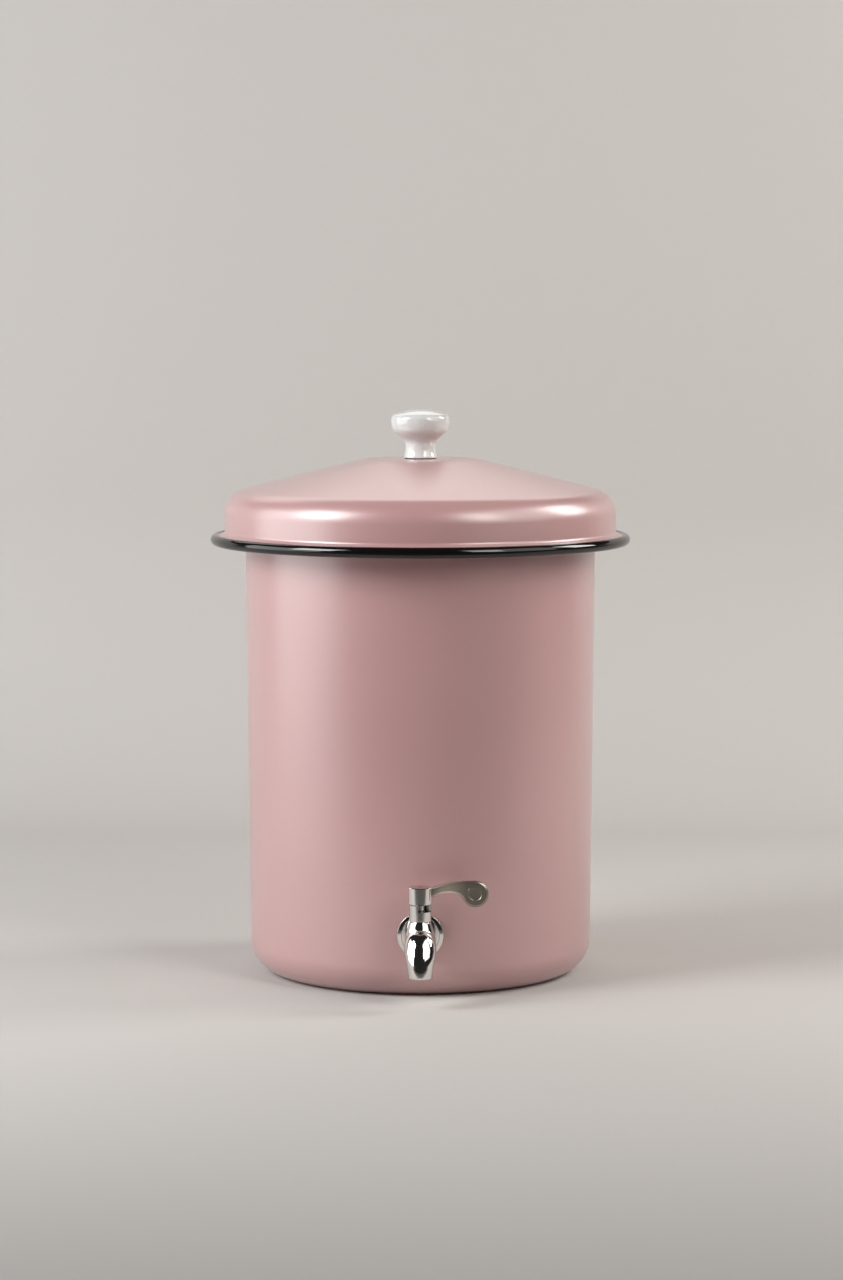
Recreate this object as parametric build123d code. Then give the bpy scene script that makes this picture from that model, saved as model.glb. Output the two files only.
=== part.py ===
from build123d import *
import os
from math import asin, atan2, cos, degrees, radians, sin, tan

# Gravity water filter: an enamelled steel vessel, welded from bottom, wall and rim, a clay filter pot that
# hangs in its mouth, a hat-shaped lid with a porcelain knob, and a quarter-turn tap with a side lever.
# Frame: origin on the floor under the vessel's axis, +Z up, the tap towards -Y. Lengths in millimetres.

os.makedirs("parts", exist_ok=True)

# ---------------------------------------------------------------- driving dimensions: vessel
sheet = 1.2                     # thickness of the enamelled sheet, vessel and lid
vessel_height = 378.7           # floor to the top of the rim
vessel_foot_radius = 147.4      # outside of the wall, carried down to the floor
vessel_top_radius = 150.8       # outside of the wall, carried up to the rim
vessel_corner_radius = 28.0     # outside corner between floor and wall
rim_flare_radius = 6.0          # outside hollow between wall and rim
rim_curl_radius = 2.0           # outside of the curled edge's section
rim_curl_turn = 250.0           # degrees that the edge is curled round
rim_skirt = 5.0                 # straight wall on the rim, down to its weld
bottom_skirt = 5.0              # straight wall on the bottom, up to its weld

# ---------------------------------------------------------------- driving dimensions: filter pot
lip_overlap = 13.2              # pot lip beyond the outside of the vessel wall
pot_lip_thickness = 14.0
pot_side_gap = 8.6              # pot wall to vessel wall, at the mouth
pot_base_radius = 112.0
pot_depth = 222.0               # below the lip
pot_wall = 13.0
pot_base_thickness = 16.0
pot_corner_radius = 24.0
pot_inner_corner_radius = 17.5
pot_edge_round = 3.0
support_ring_thickness = 2.5
support_ring_inset = 0.6        # ring's edges inside the lip and the rim's flat

# ---------------------------------------------------------------- driving dimensions: lid
lid_side_gap = 3.3              # pot lip to the inside of the lid's wall
rim_seat = 1.5                  # how far the vessel's rim reaches beyond the lid's wall
lid_seat_clearance = 0.3        # brim above the curled rim
brim_slope = 15.6               # degrees, falling outwards
brim_fillet_radius = 3.5
bead_radius = 4.6               # section of the black edge band
bead_gap = 1.8                  # edge band to vessel rim
bead_drop = 3.0                 # centre of the band below the end of the brim
lid_rise = 63.8                 # foot of the lid's wall to its flat top
lid_cone_slope = 14.3           # degrees
lid_shoulder_radius = 21.2
lid_flat_radius = 49.0
lid_flat_blend_radius = 60.0

# ---------------------------------------------------------------- driving dimensions: knob and its screw
knob_washer_thickness = 0.8
knob_washer_inset = 0.9
knob_base_radius = 14.3
knob_base_band = 1.5            # straight foot of the knob
knob_neck_radius = 12.9
knob_neck_height = 10.5
knob_collar_radius = 14.4
knob_collar_height = 15.3
knob_under_radius = 22.5
knob_under_height = 22.0
knob_radius = 25.1
knob_widest_height = 29.4
knob_brow_radius = 24.4
knob_brow_height = 36.9
knob_height = 41.9
knob_round = 2.4
insert_radius = 4.5
insert_length = 13.0
lid_screw_radius = 2.5
lid_screw_reach = 10.0          # into the insert
lid_screw_hole_gap = 0.3
lid_screw_head_radius = 4.6
lid_screw_head_height = 3.2
screw_slot_width = 1.2
screw_slot_depth = 1.2
lid_seal_radius = 9.0
lid_seal_thickness = 1.5
lid_washer_radius = 7.5
lid_washer_thickness = 1.0

# ---------------------------------------------------------------- driving dimensions: tap, along the shank
tap_height = 54.5               # shank axis above the floor
shank_radius = 7.9
shank_hole_gap = 0.2
shank_inside = 22.0             # shank behind the outside of the wall
inlet_radius = 3.2
outer_seal_radius = 13.0
outer_seal_thickness = 2.0
inner_seal_radius = 14.0
inner_seal_thickness = 2.5
back_washer_radius = 14.0
back_washer_thickness = 1.5
back_nut_flats = 24.0
back_nut_thickness = 8.0
escutcheon_radius = 19.2
escutcheon_bead_radius = 1.9
escutcheon_plate = 1.5
escutcheon_standoff = 0.5       # bead above the outside of the wall
collar_radius = 12.5
collar_length = 9.5
arm_radius = 9.8                # between collar and barrel

# ---------------------------------------------------------------- driving dimensions: tap, spout
stem_reach = 28.0               # stem axis in front of the wall
spout_lead = 1.0                # straight stretch beyond the stem axis
spout_bend_radius = 14.0
spout_throat_radius = 10.4
spout_rise_radius = 12.2
spout_rise_turn = 28.0          # degrees round the bend
spout_rise_outset = 0.8         # section's centre outside the path
spout_bulb_radius = 12.9
spout_bulb_turn = 52.0
spout_bulb_outset = 1.8
spout_fall_radius = 11.8
spout_fall_outset = 0.8
spout_lip_radius = 10.1
spout_lip_outset = 4.0          # the front skin leans forwards down to the lip
spout_end_radius = 9.0
spout_end_outset = 5.5
spout_end_height = 27.1         # above the floor
spout_lip_height = 3.4          # above the end
mouth_radius = 7.6
mouth_throat_radius = 6.6
passage_radius = 4.4
passage_turn = 40.0
barrel_top_radius = 8.8         # casting round the valve, under the bonnet
barrel_radius = 13.1
barrel_drop = 2.5               # widest place below the shank axis
barrel_depth = 11.5             # bottom below the shank axis
barrel_flare = 0.12             # slope of the side under the bonnet
barrel_gap = 0.4                # groove between casting and bonnet

# ---------------------------------------------------------------- driving dimensions: tap, valve
chamber_radius = 5.6
chamber_depth = 7.5             # chamber floor below the shank axis
sleeve_wall = 0.8
valve_clearance = 0.05          # running fit of plug, collar and stem
plug_half_height = 7.1
plug_bore_radius = 3.0
stem_slot_width = 2.4
stem_slot_depth = 3.0
stem_radius = 3.5
stem_collar_height = 12.8
ring_section_radius = 0.9       # O-rings
ring_count = 2
ring_pitch = 4.6
ring_first = 4.2                # above the foot of the stem's collar
neck_radius = 7.0
bonnet_radius = 9.15
bonnet_height = 13.9
bonnet_skirt = 5.0
bonnet_web = 2.6
bonnet_well_radius = 5.3
bonnet_seal_thickness = 1.0
thrust_washer_gap = 0.1
neck_top = 20.5                 # above the shank axis
edge_break = 0.5

# ---------------------------------------------------------------- driving dimensions: tap, handle
handle_gap = 0.4                # bonnet to hub
hub_radius = 9.98
hub_height = 14.1
stem_square = 4.8
stem_square_height = 7.0
hub_web = 2.4
handle_screw_radius = 1.5
handle_screw_head_radius = 2.9
handle_screw_head_height = 2.2
handle_screw_length = 8.0
hex_key_flats = 2.5
hex_key_depth = 1.2
stop_pin_radius = 1.3
stop_pin_orbit = 7.2
stop_pin_reach = 5.6            # below the hub
stop_pin_seat = 2.9             # into the hub
handle_turn = 90.0              # degrees from shut to open
stop_margin = 1.6               # degrees of play at each end of the notch
notch_floor_gap = 0.4           # below the pin's end
lever_thickness = 6.0
lever_tang_depth = 4.2          # into the hub
lever_tang_low = 3.0            # tang's end above the hub's foot
lever_tang_high = 11.6
lever_waist_reach = 25.5
lever_waist_low = 9.0
lever_disc_reach = 45.3
lever_disc_height = 8.4         # centre above the hub's foot
lever_disc_radius = 11.05
lever_rise = 0.6                # slope of the top edge at the tang
lever_fall = 0.55               # slope of the lower edge at the tang
lever_root_turn = 205.0         # degrees round the disc where the lower edge meets it
lever_edge_round = 2.2
medallion_radius = 6.6
medallion_thickness = 1.0
medallion_proud = 0.3

# ---------------------------------------------------------------- derived places
rim_underside = vessel_height - sheet
lip_radius = vessel_top_radius + lip_overlap
lid_wall_radius = lip_radius + lid_side_gap + sheet
rim_radius = lid_wall_radius + rim_seat
curl_centre_radius = rim_radius - rim_curl_radius
curl_centre_height = vessel_height - rim_curl_radius
rim_flat_start = vessel_top_radius + rim_flare_radius
rim_weld = rim_underside - rim_flare_radius - rim_skirt
bottom_weld = vessel_corner_radius + bottom_skirt
bead_ring_radius = rim_radius + bead_gap + bead_radius

lip_underside = vessel_height + support_ring_thickness
pot_top = lip_underside + pot_lip_thickness
pot_floor = lip_underside - pot_depth

brim_stack = rim_curl_radius + lid_seat_clearance + sheet
brim_mark_radius = curl_centre_radius + brim_stack * sin(radians(brim_slope))
brim_mark_height = curl_centre_height + brim_stack * cos(radians(brim_slope))


def brim_height(radius):
    """Height of the brim's upper face at a radius."""
    return brim_mark_height - (radius - brim_mark_radius) * tan(radians(brim_slope))


lid_foot = brim_height(lid_wall_radius)
lid_top = lid_foot + lid_rise
lid_shoulder = lid_top - (lid_wall_radius - lid_flat_radius) * tan(radians(lid_cone_slope))
brim_end = brim_height(bead_ring_radius)
bead_height = brim_end - bead_drop
knob_foot = lid_top + knob_washer_thickness
lid_ceiling = lid_top - sheet
lid_washer_top = lid_ceiling - lid_seal_thickness
lid_screw_seat = lid_washer_top - lid_washer_thickness


def wall_radius(height):
    """Outside radius of the vessel's wall at a height."""
    return vessel_foot_radius + (vessel_top_radius - vessel_foot_radius) * height / rim_underside


wall_face = wall_radius(tap_height)
stem_y = -wall_face - stem_reach
sleeve_bore = chamber_radius - sleeve_wall
plug_radius = sleeve_bore - valve_clearance
stem_collar_radius = chamber_radius - valve_clearance
chamber_floor = tap_height - chamber_depth
sleeve_top = tap_height + chamber_depth
plug_top = tap_height + plug_half_height
stem_foot = sleeve_top + valve_clearance
stem_collar_top = stem_foot + stem_collar_height
neck_end = tap_height + neck_top
bonnet_ceiling = neck_end + bonnet_seal_thickness
bonnet_foot = bonnet_ceiling - bonnet_skirt
bonnet_top = bonnet_foot + bonnet_height
well_floor = bonnet_ceiling + bonnet_web
hub_foot = bonnet_top + handle_gap
hub_top = hub_foot + hub_height
square_foot = hub_top - handle_screw_head_height - hub_web - stem_square_height
stem_top = square_foot + stem_square_height
screw_seat = stem_top + hub_web
pin_end = hub_foot - stop_pin_reach
notch_floor = pin_end - notch_floor_gap

# The shank frame: x stays x, y is height above the shank axis, z is distance out from the wall's face.
shank_frame = Location(Plane(origin=(0, -wall_face, tap_height), x_dir=(1, 0, 0), z_dir=(0, -1, 0)))
stem_frame = Pos(0, stem_y, 0)


# ---------------------------------------------------------------- helpers
def turned(section):
    """Solid of revolution about +Z from a face, or a closed outline, drawn as (radius, height)."""
    face = make_face(section) if isinstance(section, list) else section
    return revolve(Plane.XZ * face, Axis.Z)


def sheet_section(path):
    """Section of a pressed sheet: its outside skin runs along the path, its thickness lies to the left."""
    return make_face(offset(path, amount=sheet, side=Side.LEFT, closed=True))


def ring(outer, inner, low, high):
    """Upright ring, or a disc where the inner radius is 0, between two heights."""
    section = Circle(outer)
    if inner > 0:
        section -= Circle(inner)
    return Pos(0, 0, low) * extrude(section, high - low)


def block(x_range, y_range, z_range):
    """Box between pairs of coordinates."""
    size = [high - low for low, high in (x_range, y_range, z_range)]
    centre = [(high + low) / 2 for low, high in (x_range, y_range, z_range)]
    return Pos(*centre) * Box(*size)


# ---------------------------------------------------------------- vessel and pot
def vessel_section():
    """Section of the whole vessel: flat bottom, tapered wall, outward rim and curled edge."""
    inner_curl = rim_curl_radius - sheet
    profile = FilletPolyline(
        (0, 0),
        (vessel_foot_radius, 0),
        (vessel_top_radius, rim_underside),
        (curl_centre_radius, rim_underside),
        radius=[vessel_corner_radius, rim_flare_radius],
    )
    curl = CenterArc((curl_centre_radius, curl_centre_height), inner_curl, 90, -rim_curl_turn)
    return sheet_section(Wire(profile.edges() + curl.edges()))


def vessel_piece(low, high):
    """The stretch of the vessel between two heights, where it is welded from its pieces."""
    band = Pos(rim_radius / 2, (low + high) / 2) * Rectangle(rim_radius, high - low)
    return turned(vessel_section() & band)


def vessel_bottom():
    """Drawn bottom with a rounded corner and a short skirt."""
    return vessel_piece(0, bottom_weld)


def vessel_wall():
    """Rolled wall, wider towards the top, with the hole for the tap."""
    hole = shank_frame * ring(shank_radius + shank_hole_gap, 0, -shank_inside, shank_inside)
    return vessel_piece(bottom_weld, rim_weld) - hole


def vessel_rim():
    """Pressed rim that carries the pot and the lid, its edge curled under."""
    return vessel_piece(rim_weld, vessel_height)


def pot_support_ring():
    """Soft ring between the vessel's rim and the pot's lip."""
    inner = rim_flat_start + support_ring_inset
    return ring(lip_radius - support_ring_inset, inner, vessel_height, lip_underside)


def clay_filter_pot():
    """Porous clay pot: a tapered cup with a thick lip that hangs on the vessel's rim."""
    mouth = vessel_top_radius - sheet - pot_side_gap
    outside = FilletPolyline(
        (0, pot_floor),
        (pot_base_radius, pot_floor),
        (mouth, lip_underside),
        (lip_radius, lip_underside),
        (lip_radius, pot_top),
        (0, pot_top),
        radius=[pot_corner_radius, pot_edge_round, pot_edge_round, pot_edge_round],
    )
    body = turned([outside, Line((0, pot_top), (0, pot_floor))])
    inner_floor = pot_floor + pot_base_thickness
    inside = FilletPolyline(
        (0, inner_floor),
        (pot_base_radius - pot_wall, inner_floor),
        (mouth - pot_wall, pot_top),
        radius=pot_inner_corner_radius,
    )
    hollow = turned([inside, Line(inside @ 1, (0, pot_top)), Line((0, pot_top), (0, inner_floor))])
    return body - hollow


# ---------------------------------------------------------------- lid
def lid_section():
    """Section of the lid: brim, wall, rounded shoulder, shallow cone and flat top."""
    profile = FilletPolyline(
        (bead_ring_radius, brim_end),
        (lid_wall_radius, lid_foot),
        (lid_wall_radius, lid_shoulder),
        (lid_flat_radius, lid_top),
        (0, lid_top),
        radius=[brim_fillet_radius, lid_shoulder_radius, lid_flat_blend_radius],
    )
    return sheet_section(profile)


def lid_shell():
    """Pressed lid with the hole for the knob's screw."""
    return turned(lid_section()) - ring(lid_screw_radius + lid_screw_hole_gap, 0, lid_screw_seat, knob_foot)


def lid_edge_band():
    """Round band closed over the end of the brim, slotted by the brim itself."""
    return turned(Pos(bead_ring_radius, bead_height) * Circle(bead_radius) - lid_section())


def knob_washer():
    """Thin washer under the knob."""
    outer = knob_base_radius - knob_washer_inset
    return ring(outer, lid_screw_radius + lid_screw_hole_gap, lid_top, knob_foot)


def lid_knob():
    """Turned porcelain knob with a blind pocket for its threaded insert."""
    foot = knob_foot
    neck = ThreePointArc(
        (knob_base_radius, foot + knob_base_band),
        (knob_neck_radius, foot + knob_neck_height),
        (knob_collar_radius, foot + knob_collar_height),
    )
    side = ThreePointArc(
        (knob_under_radius, foot + knob_under_height),
        (knob_radius, foot + knob_widest_height),
        (knob_brow_radius, foot + knob_brow_height),
    )
    crown = TangentArc((0, foot + knob_height), side @ 1, tangent=(1, 0))
    outline = [
        Line((0, foot), (knob_base_radius, foot)),
        Line((knob_base_radius, foot), neck @ 0),
        neck,
        Line(neck @ 1, side @ 0),
        side,
        crown,
        Line((0, foot + knob_height), (0, foot)),
    ]
    knob = turned(outline)
    rims = knob.edges().filter_by(GeomType.CIRCLE).filter_by_position(
        Axis.Z, (neck @ 1).Y, foot + knob_height, inclusive=(False, False)
    )
    knob = fillet(rims, knob_round)
    return knob - ring(insert_radius, 0, foot, foot + insert_length)


def knob_insert():
    """Threaded insert bonded into the knob."""
    return ring(insert_radius, lid_screw_radius, knob_foot, knob_foot + insert_length)


def lid_screw():
    """Slotted pan-head screw from inside the lid into the knob's insert."""
    low = lid_screw_seat - lid_screw_head_height
    head = ring(lid_screw_head_radius, 0, low, lid_screw_seat)
    head = fillet(head.edges().group_by(Axis.Z)[0], lid_screw_head_height / 3)
    slot = block(
        (-lid_screw_head_radius, lid_screw_head_radius),
        (-screw_slot_width / 2, screw_slot_width / 2),
        (low, low + screw_slot_depth),
    )
    return head + ring(lid_screw_radius, 0, lid_screw_seat, knob_foot + lid_screw_reach) - slot


def lid_screw_washer():
    """Steel washer under the screw's head."""
    return ring(lid_washer_radius, lid_screw_radius + lid_screw_hole_gap, lid_screw_seat, lid_washer_top)


def lid_screw_seal():
    """Rubber washer between the steel washer and the lid."""
    return ring(lid_seal_radius, lid_screw_radius + lid_screw_hole_gap, lid_washer_top, lid_ceiling)


# ---------------------------------------------------------------- tap: what clamps it to the wall
def wall_cone(skin):
    """Solid that fills the vessel's wall up to a skin so deep, measured square to the wall."""
    inset = skin / cos(atan2(vessel_top_radius - vessel_foot_radius, rim_underside))
    cone = Cone(vessel_foot_radius - inset, vessel_top_radius - inset, rim_underside)
    return Pos(0, 0, rim_underside / 2) * cone


def tap_outer_seal():
    """Seal washer, its back moulded to the curve of the wall."""
    disc = ring(outer_seal_radius, shank_radius, -outer_seal_thickness, outer_seal_thickness)
    return shank_frame * disc - wall_cone(0)


def tap_inner_seal():
    """Seal washer inside the vessel, its face moulded to the curve of the wall."""
    disc = ring(inner_seal_radius, shank_radius, -sheet - inner_seal_thickness, 0)
    return (shank_frame * disc) & wall_cone(sheet)


def tap_back_washer():
    """Flat steel washer under the nut."""
    near = -sheet - inner_seal_thickness
    return shank_frame * ring(back_washer_radius, shank_radius, near - back_washer_thickness, near)


def tap_back_nut():
    """Hexagon nut on the shank inside the vessel."""
    near = -sheet - inner_seal_thickness - back_washer_thickness
    section = RegularPolygon(back_nut_flats / 2, 6, major_radius=False) - Circle(shank_radius)
    nut = Pos(0, 0, near - back_nut_thickness) * extrude(section, back_nut_thickness)
    return shank_frame * nut


def tap_escutcheon():
    """Dished cover plate with a rounded edge bead."""
    bead_centre = escutcheon_standoff + escutcheon_bead_radius
    bead_ring = escutcheon_radius - escutcheon_bead_radius
    bead = Pos(0, 0, bead_centre) * Torus(bead_ring, escutcheon_bead_radius)
    face = outer_seal_thickness + escutcheon_plate
    plate = ring(bead_ring, shank_radius, outer_seal_thickness, face)
    return shank_frame * (bead + plate)


# ---------------------------------------------------------------- tap: body
def spout_section(radius, bend, straight=0.0, outset=0.0):
    """Disc across the spout's path, a bend of so many degrees and then a straight stretch, or outside it."""
    turn = radians(bend)
    swing = spout_bend_radius + outset
    out = stem_reach + spout_lead + swing * sin(turn) + straight * cos(turn)
    height = tap_height - spout_bend_radius + swing * cos(turn) - straight * sin(turn)
    place = Plane(
        origin=(0, -wall_face - out, height),
        x_dir=(1, 0, 0),
        z_dir=(0, -cos(turn), -sin(turn)),
    )
    return place * Circle(radius)


def spout_horn():
    """Outside of the spout, from the stem to its lip."""
    fall = tap_height - spout_bend_radius - spout_end_height
    return loft([
        spout_section(spout_throat_radius, 0, -spout_lead),
        spout_section(spout_throat_radius, 0),
        spout_section(spout_rise_radius, spout_rise_turn, outset=spout_rise_outset),
        spout_section(spout_bulb_radius, spout_bulb_turn, outset=spout_bulb_outset),
        spout_section(spout_fall_radius, 90, outset=spout_fall_outset),
        spout_section(spout_lip_radius, 90, fall - spout_lip_height, spout_lip_outset),
        spout_section(spout_end_radius, 90, fall, spout_end_outset),
    ])


def spout_passage():
    """Water way from the valve to the mouth, run past the mouth so that it cuts through."""
    fall = tap_height - spout_bend_radius - spout_end_height
    return loft([
        spout_section(inlet_radius, 0, -spout_lead),
        spout_section(passage_radius, passage_turn),
        spout_section(mouth_throat_radius, 90, outset=spout_fall_outset),
        spout_section(mouth_radius, 90, fall, spout_end_outset),
        spout_section(mouth_radius, 90, fall + spout_lead, spout_end_outset),
    ])


def valve_barrel():
    """Swelling round the valve, from the groove under the bonnet to a rounded bottom."""
    top = bonnet_foot - barrel_gap
    bottom = tap_height - barrel_depth
    side = Spline(
        (barrel_top_radius, top),
        (barrel_radius, tap_height - barrel_drop),
        (0, bottom),
        tangents=[(barrel_flare, -1), (-1, 0)],
    )
    return turned([side, Line((0, bottom), (0, top)), Line((0, top), (barrel_top_radius, top))])


def tap_body():
    """Plated casting: shank, flared collar, arm, valve barrel, neck and spout."""
    face = outer_seal_thickness + escutcheon_plate
    shank = ring(shank_radius, 0, -shank_inside, face)
    collar = Pos(0, 0, face + collar_length / 2) * Cone(collar_radius, arm_radius, collar_length)
    arm = ring(arm_radius, 0, face + collar_length, stem_reach)
    neck = ring(neck_radius, 0, tap_height, neck_end)
    body = shank_frame * (shank + collar + arm) + spout_horn() + stem_frame * (neck + valve_barrel())
    inlet = shank_frame * ring(inlet_radius, 0, -shank_inside, stem_reach)
    chamber = stem_frame * ring(chamber_radius, 0, chamber_floor, neck_end)
    return body - inlet - chamber - spout_passage()


# ---------------------------------------------------------------- tap: valve
def valve_sleeve():
    """Low-friction sleeve round the plug, with a port towards the shank and one towards the spout."""
    sleeve = stem_frame * ring(chamber_radius, sleeve_bore, chamber_floor, sleeve_top)
    half_run = 2 * chamber_radius
    return sleeve - shank_frame * ring(inlet_radius, 0, stem_reach - half_run, stem_reach + half_run)


def valve_plug():
    """Bored plug, shown shut: its bore lies across the water way."""
    low = tap_height - plug_half_height
    plug = ring(plug_radius, 0, low, plug_top)
    bore = Pos(0, 0, tap_height) * Rot(0, 90, 0) * Cylinder(plug_bore_radius, 2 * chamber_radius)
    half_slot = stem_slot_width / 2
    slot_heights = (plug_top - stem_slot_depth, plug_top)
    slot = block((-chamber_radius, chamber_radius), (-half_slot, half_slot), slot_heights)
    return stem_frame * (plug - bore - slot)


def ring_heights():
    """Heights of the O-ring grooves."""
    return [stem_foot + ring_first + i * ring_pitch for i in range(ring_count)]


def ring_centre_radius():
    """Radius of the O-rings' centre line, clear of the chamber's wall."""
    return stem_collar_radius - ring_section_radius


def valve_stem():
    """Stem: tongue into the plug, grooved collar, round shaft and a square end for the hub."""
    half_slot = stem_slot_width / 2
    collar = ring(stem_collar_radius, 0, stem_foot, stem_collar_top)
    tongue_foot = plug_top - stem_slot_depth
    tongue = block((-sleeve_bore, sleeve_bore), (-half_slot, half_slot), (tongue_foot, stem_foot))
    tongue &= ring(plug_radius, 0, tongue_foot, stem_foot)
    shaft = ring(stem_radius, 0, stem_collar_top, square_foot)
    half_square = stem_square / 2
    end = block((-half_square, half_square), (-half_square, half_square), (square_foot, stem_top))
    stem = collar + tongue + shaft + end
    for height in ring_heights():
        bottom = ring_centre_radius() - ring_section_radius
        low = height - ring_section_radius
        stem -= ring(stem_collar_radius, bottom, low, height + ring_section_radius)
    stem -= ring(handle_screw_radius, 0, screw_seat - handle_screw_length, stem_top)
    return stem_frame * stem


def stem_o_rings():
    """O-rings in the stem's grooves."""
    one = Torus(ring_centre_radius(), ring_section_radius)
    return Compound(children=[stem_frame * Pos(0, 0, height) * one for height in ring_heights()])


def thrust_washer():
    """Slippery washer between the stem's collar and the bonnet."""
    low = stem_collar_top + thrust_washer_gap
    return stem_frame * ring(stem_collar_radius, stem_radius + valve_clearance, low, bonnet_ceiling)


def bonnet_seal():
    """Flat seal on the end of the neck."""
    return stem_frame * ring(neck_radius, chamber_radius, neck_end, bonnet_ceiling)


def tap_bonnet():
    """Cap nut on the neck, with a well round the stem and a notch that stops the pin at both ends."""
    bonnet = ring(bonnet_radius, 0, bonnet_foot, bonnet_top)
    bonnet = chamfer(bonnet.edges().filter_by(GeomType.CIRCLE), edge_break)
    bonnet -= ring(neck_radius, 0, bonnet_foot, bonnet_ceiling)
    bonnet -= ring(stem_radius + valve_clearance, 0, bonnet_ceiling, bonnet_top)
    bonnet -= ring(bonnet_well_radius, 0, well_floor, bonnet_top)
    half_pin = degrees(asin(stop_pin_radius / stop_pin_orbit))
    play = half_pin + stop_margin
    window = Pos(bonnet_radius, (notch_floor + bonnet_top) / 2)
    window *= Rectangle(2 * (bonnet_radius - stem_radius), bonnet_top - notch_floor)
    notch = revolve(Plane.XZ * window, Axis.Z, handle_turn + 2 * play)
    return stem_frame * (bonnet - Rot(0, 0, -handle_turn - play) * notch)


# ---------------------------------------------------------------- tap: handle
def handle_hub():
    """Hub: square bore on the stem, screw pocket on top, slot for the lever and hole for the stop pin."""
    hub = ring(hub_radius, 0, hub_foot, hub_top)
    hub = chamfer(hub.edges().filter_by(GeomType.CIRCLE), edge_break)
    half_square = stem_square / 2
    hub -= ring(stem_radius, 0, hub_foot, square_foot)
    hub -= block((-half_square, half_square), (-half_square, half_square), (square_foot, stem_top))
    hub -= ring(handle_screw_radius, 0, stem_top, screw_seat)
    hub -= ring(handle_screw_head_radius, 0, screw_seat, hub_top)
    hub -= Pos(stop_pin_orbit, 0, 0) * ring(stop_pin_radius, 0, hub_foot, hub_foot + stop_pin_seat)
    return stem_frame * hub - lever_blank()


def handle_screw():
    """Cap screw that holds the hub on the stem."""
    shank = ring(handle_screw_radius, 0, screw_seat - handle_screw_length, screw_seat)
    head = ring(handle_screw_head_radius, 0, screw_seat, hub_top)
    key = RegularPolygon(hex_key_flats / 2, 6, major_radius=False)
    socket = Pos(0, 0, hub_top - hex_key_depth) * extrude(key, hex_key_depth)
    return stem_frame * (shank + head - socket)


def stop_pin():
    """Pin under the hub that travels in the bonnet's notch."""
    pin = ring(stop_pin_radius, 0, pin_end, hub_foot + stop_pin_seat)
    return stem_frame * Pos(stop_pin_orbit, 0, 0) * pin


def lever_blank():
    """Lever before its recess is cut: tang in the hub, curved arm and round end disc, with rounded edges."""
    tang_end = hub_radius - lever_tang_depth
    low = (tang_end, hub_foot + lever_tang_low)
    high = (tang_end, hub_foot + lever_tang_high)
    disc_centre = (lever_disc_reach, hub_foot + lever_disc_height)
    crest = (lever_disc_reach, disc_centre[1] + lever_disc_radius)
    turn = radians(lever_root_turn)
    root = (disc_centre[0] + lever_disc_radius * cos(turn), disc_centre[1] + lever_disc_radius * sin(turn))
    waist = (lever_waist_reach, hub_foot + lever_waist_low)
    along_disc = (sin(turn), -cos(turn))
    arm = make_face([
        Spline(high, crest, tangents=[(1, lever_rise), (1, 0)]),
        Line(crest, disc_centre),
        Line(disc_centre, root),
        Spline(root, waist, low, tangents=[along_disc, (-1, -lever_fall)]),
        Line(low, high),
    ])
    outline = arm + Pos(*disc_centre) * Circle(lever_disc_radius)
    plate = extrude(Plane.XZ * outline, lever_thickness / 2, both=True)
    rims = [edge for edge in plate.faces().filter_by(Axis.Y).edges() if edge.center().X > hub_radius]
    return stem_frame * fillet(rims, lever_edge_round)


def lever_arm():
    """Curved flat lever with the recess for its medallion."""
    return lever_blank() - lever_medallion()


def lever_medallion():
    """Plain round medallion let into the lever's disc."""
    centre = (lever_disc_reach, stem_y - lever_thickness / 2, hub_foot + lever_disc_height)
    front = Location(Plane(origin=centre, x_dir=(1, 0, 0), z_dir=(0, -1, 0)))
    return front * ring(medallion_radius, 0, medallion_proud - medallion_thickness, medallion_proud)


# ---------------------------------------------------------------- assembly
pieces = {
    "vessel_bottom": vessel_bottom(),
    "vessel_wall": vessel_wall(),
    "vessel_rim": vessel_rim(),
    "pot_support_ring": pot_support_ring(),
    "clay_filter_pot": clay_filter_pot(),
    "lid_shell": lid_shell(),
    "lid_edge_band": lid_edge_band(),
    "knob_washer": knob_washer(),
    "lid_knob": lid_knob(),
    "knob_insert": knob_insert(),
    "lid_screw": lid_screw(),
    "lid_screw_washer": lid_screw_washer(),
    "lid_screw_seal": lid_screw_seal(),
    "tap_outer_seal": tap_outer_seal(),
    "tap_inner_seal": tap_inner_seal(),
    "tap_back_washer": tap_back_washer(),
    "tap_back_nut": tap_back_nut(),
    "tap_escutcheon": tap_escutcheon(),
    "tap_body": tap_body(),
    "valve_sleeve": valve_sleeve(),
    "valve_plug": valve_plug(),
    "valve_stem": valve_stem(),
    "stem_o_rings": stem_o_rings(),
    "thrust_washer": thrust_washer(),
    "bonnet_seal": bonnet_seal(),
    "tap_bonnet": tap_bonnet(),
    "handle_hub": handle_hub(),
    "handle_screw": handle_screw(),
    "stop_pin": stop_pin(),
    "lever_arm": lever_arm(),
    "lever_medallion": lever_medallion(),
}

for name, piece in pieces.items():
    export_step(piece, f"parts/{name}.step")
    print(name, len(piece.solids()), round(piece.volume))
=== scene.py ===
from math import atan2, cos, pi, radians, sin, tan

import bmesh
import bpy
from bpy.props import FloatProperty, FloatVectorProperty, IntProperty, PointerProperty
from mathutils import Matrix, Vector


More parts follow.
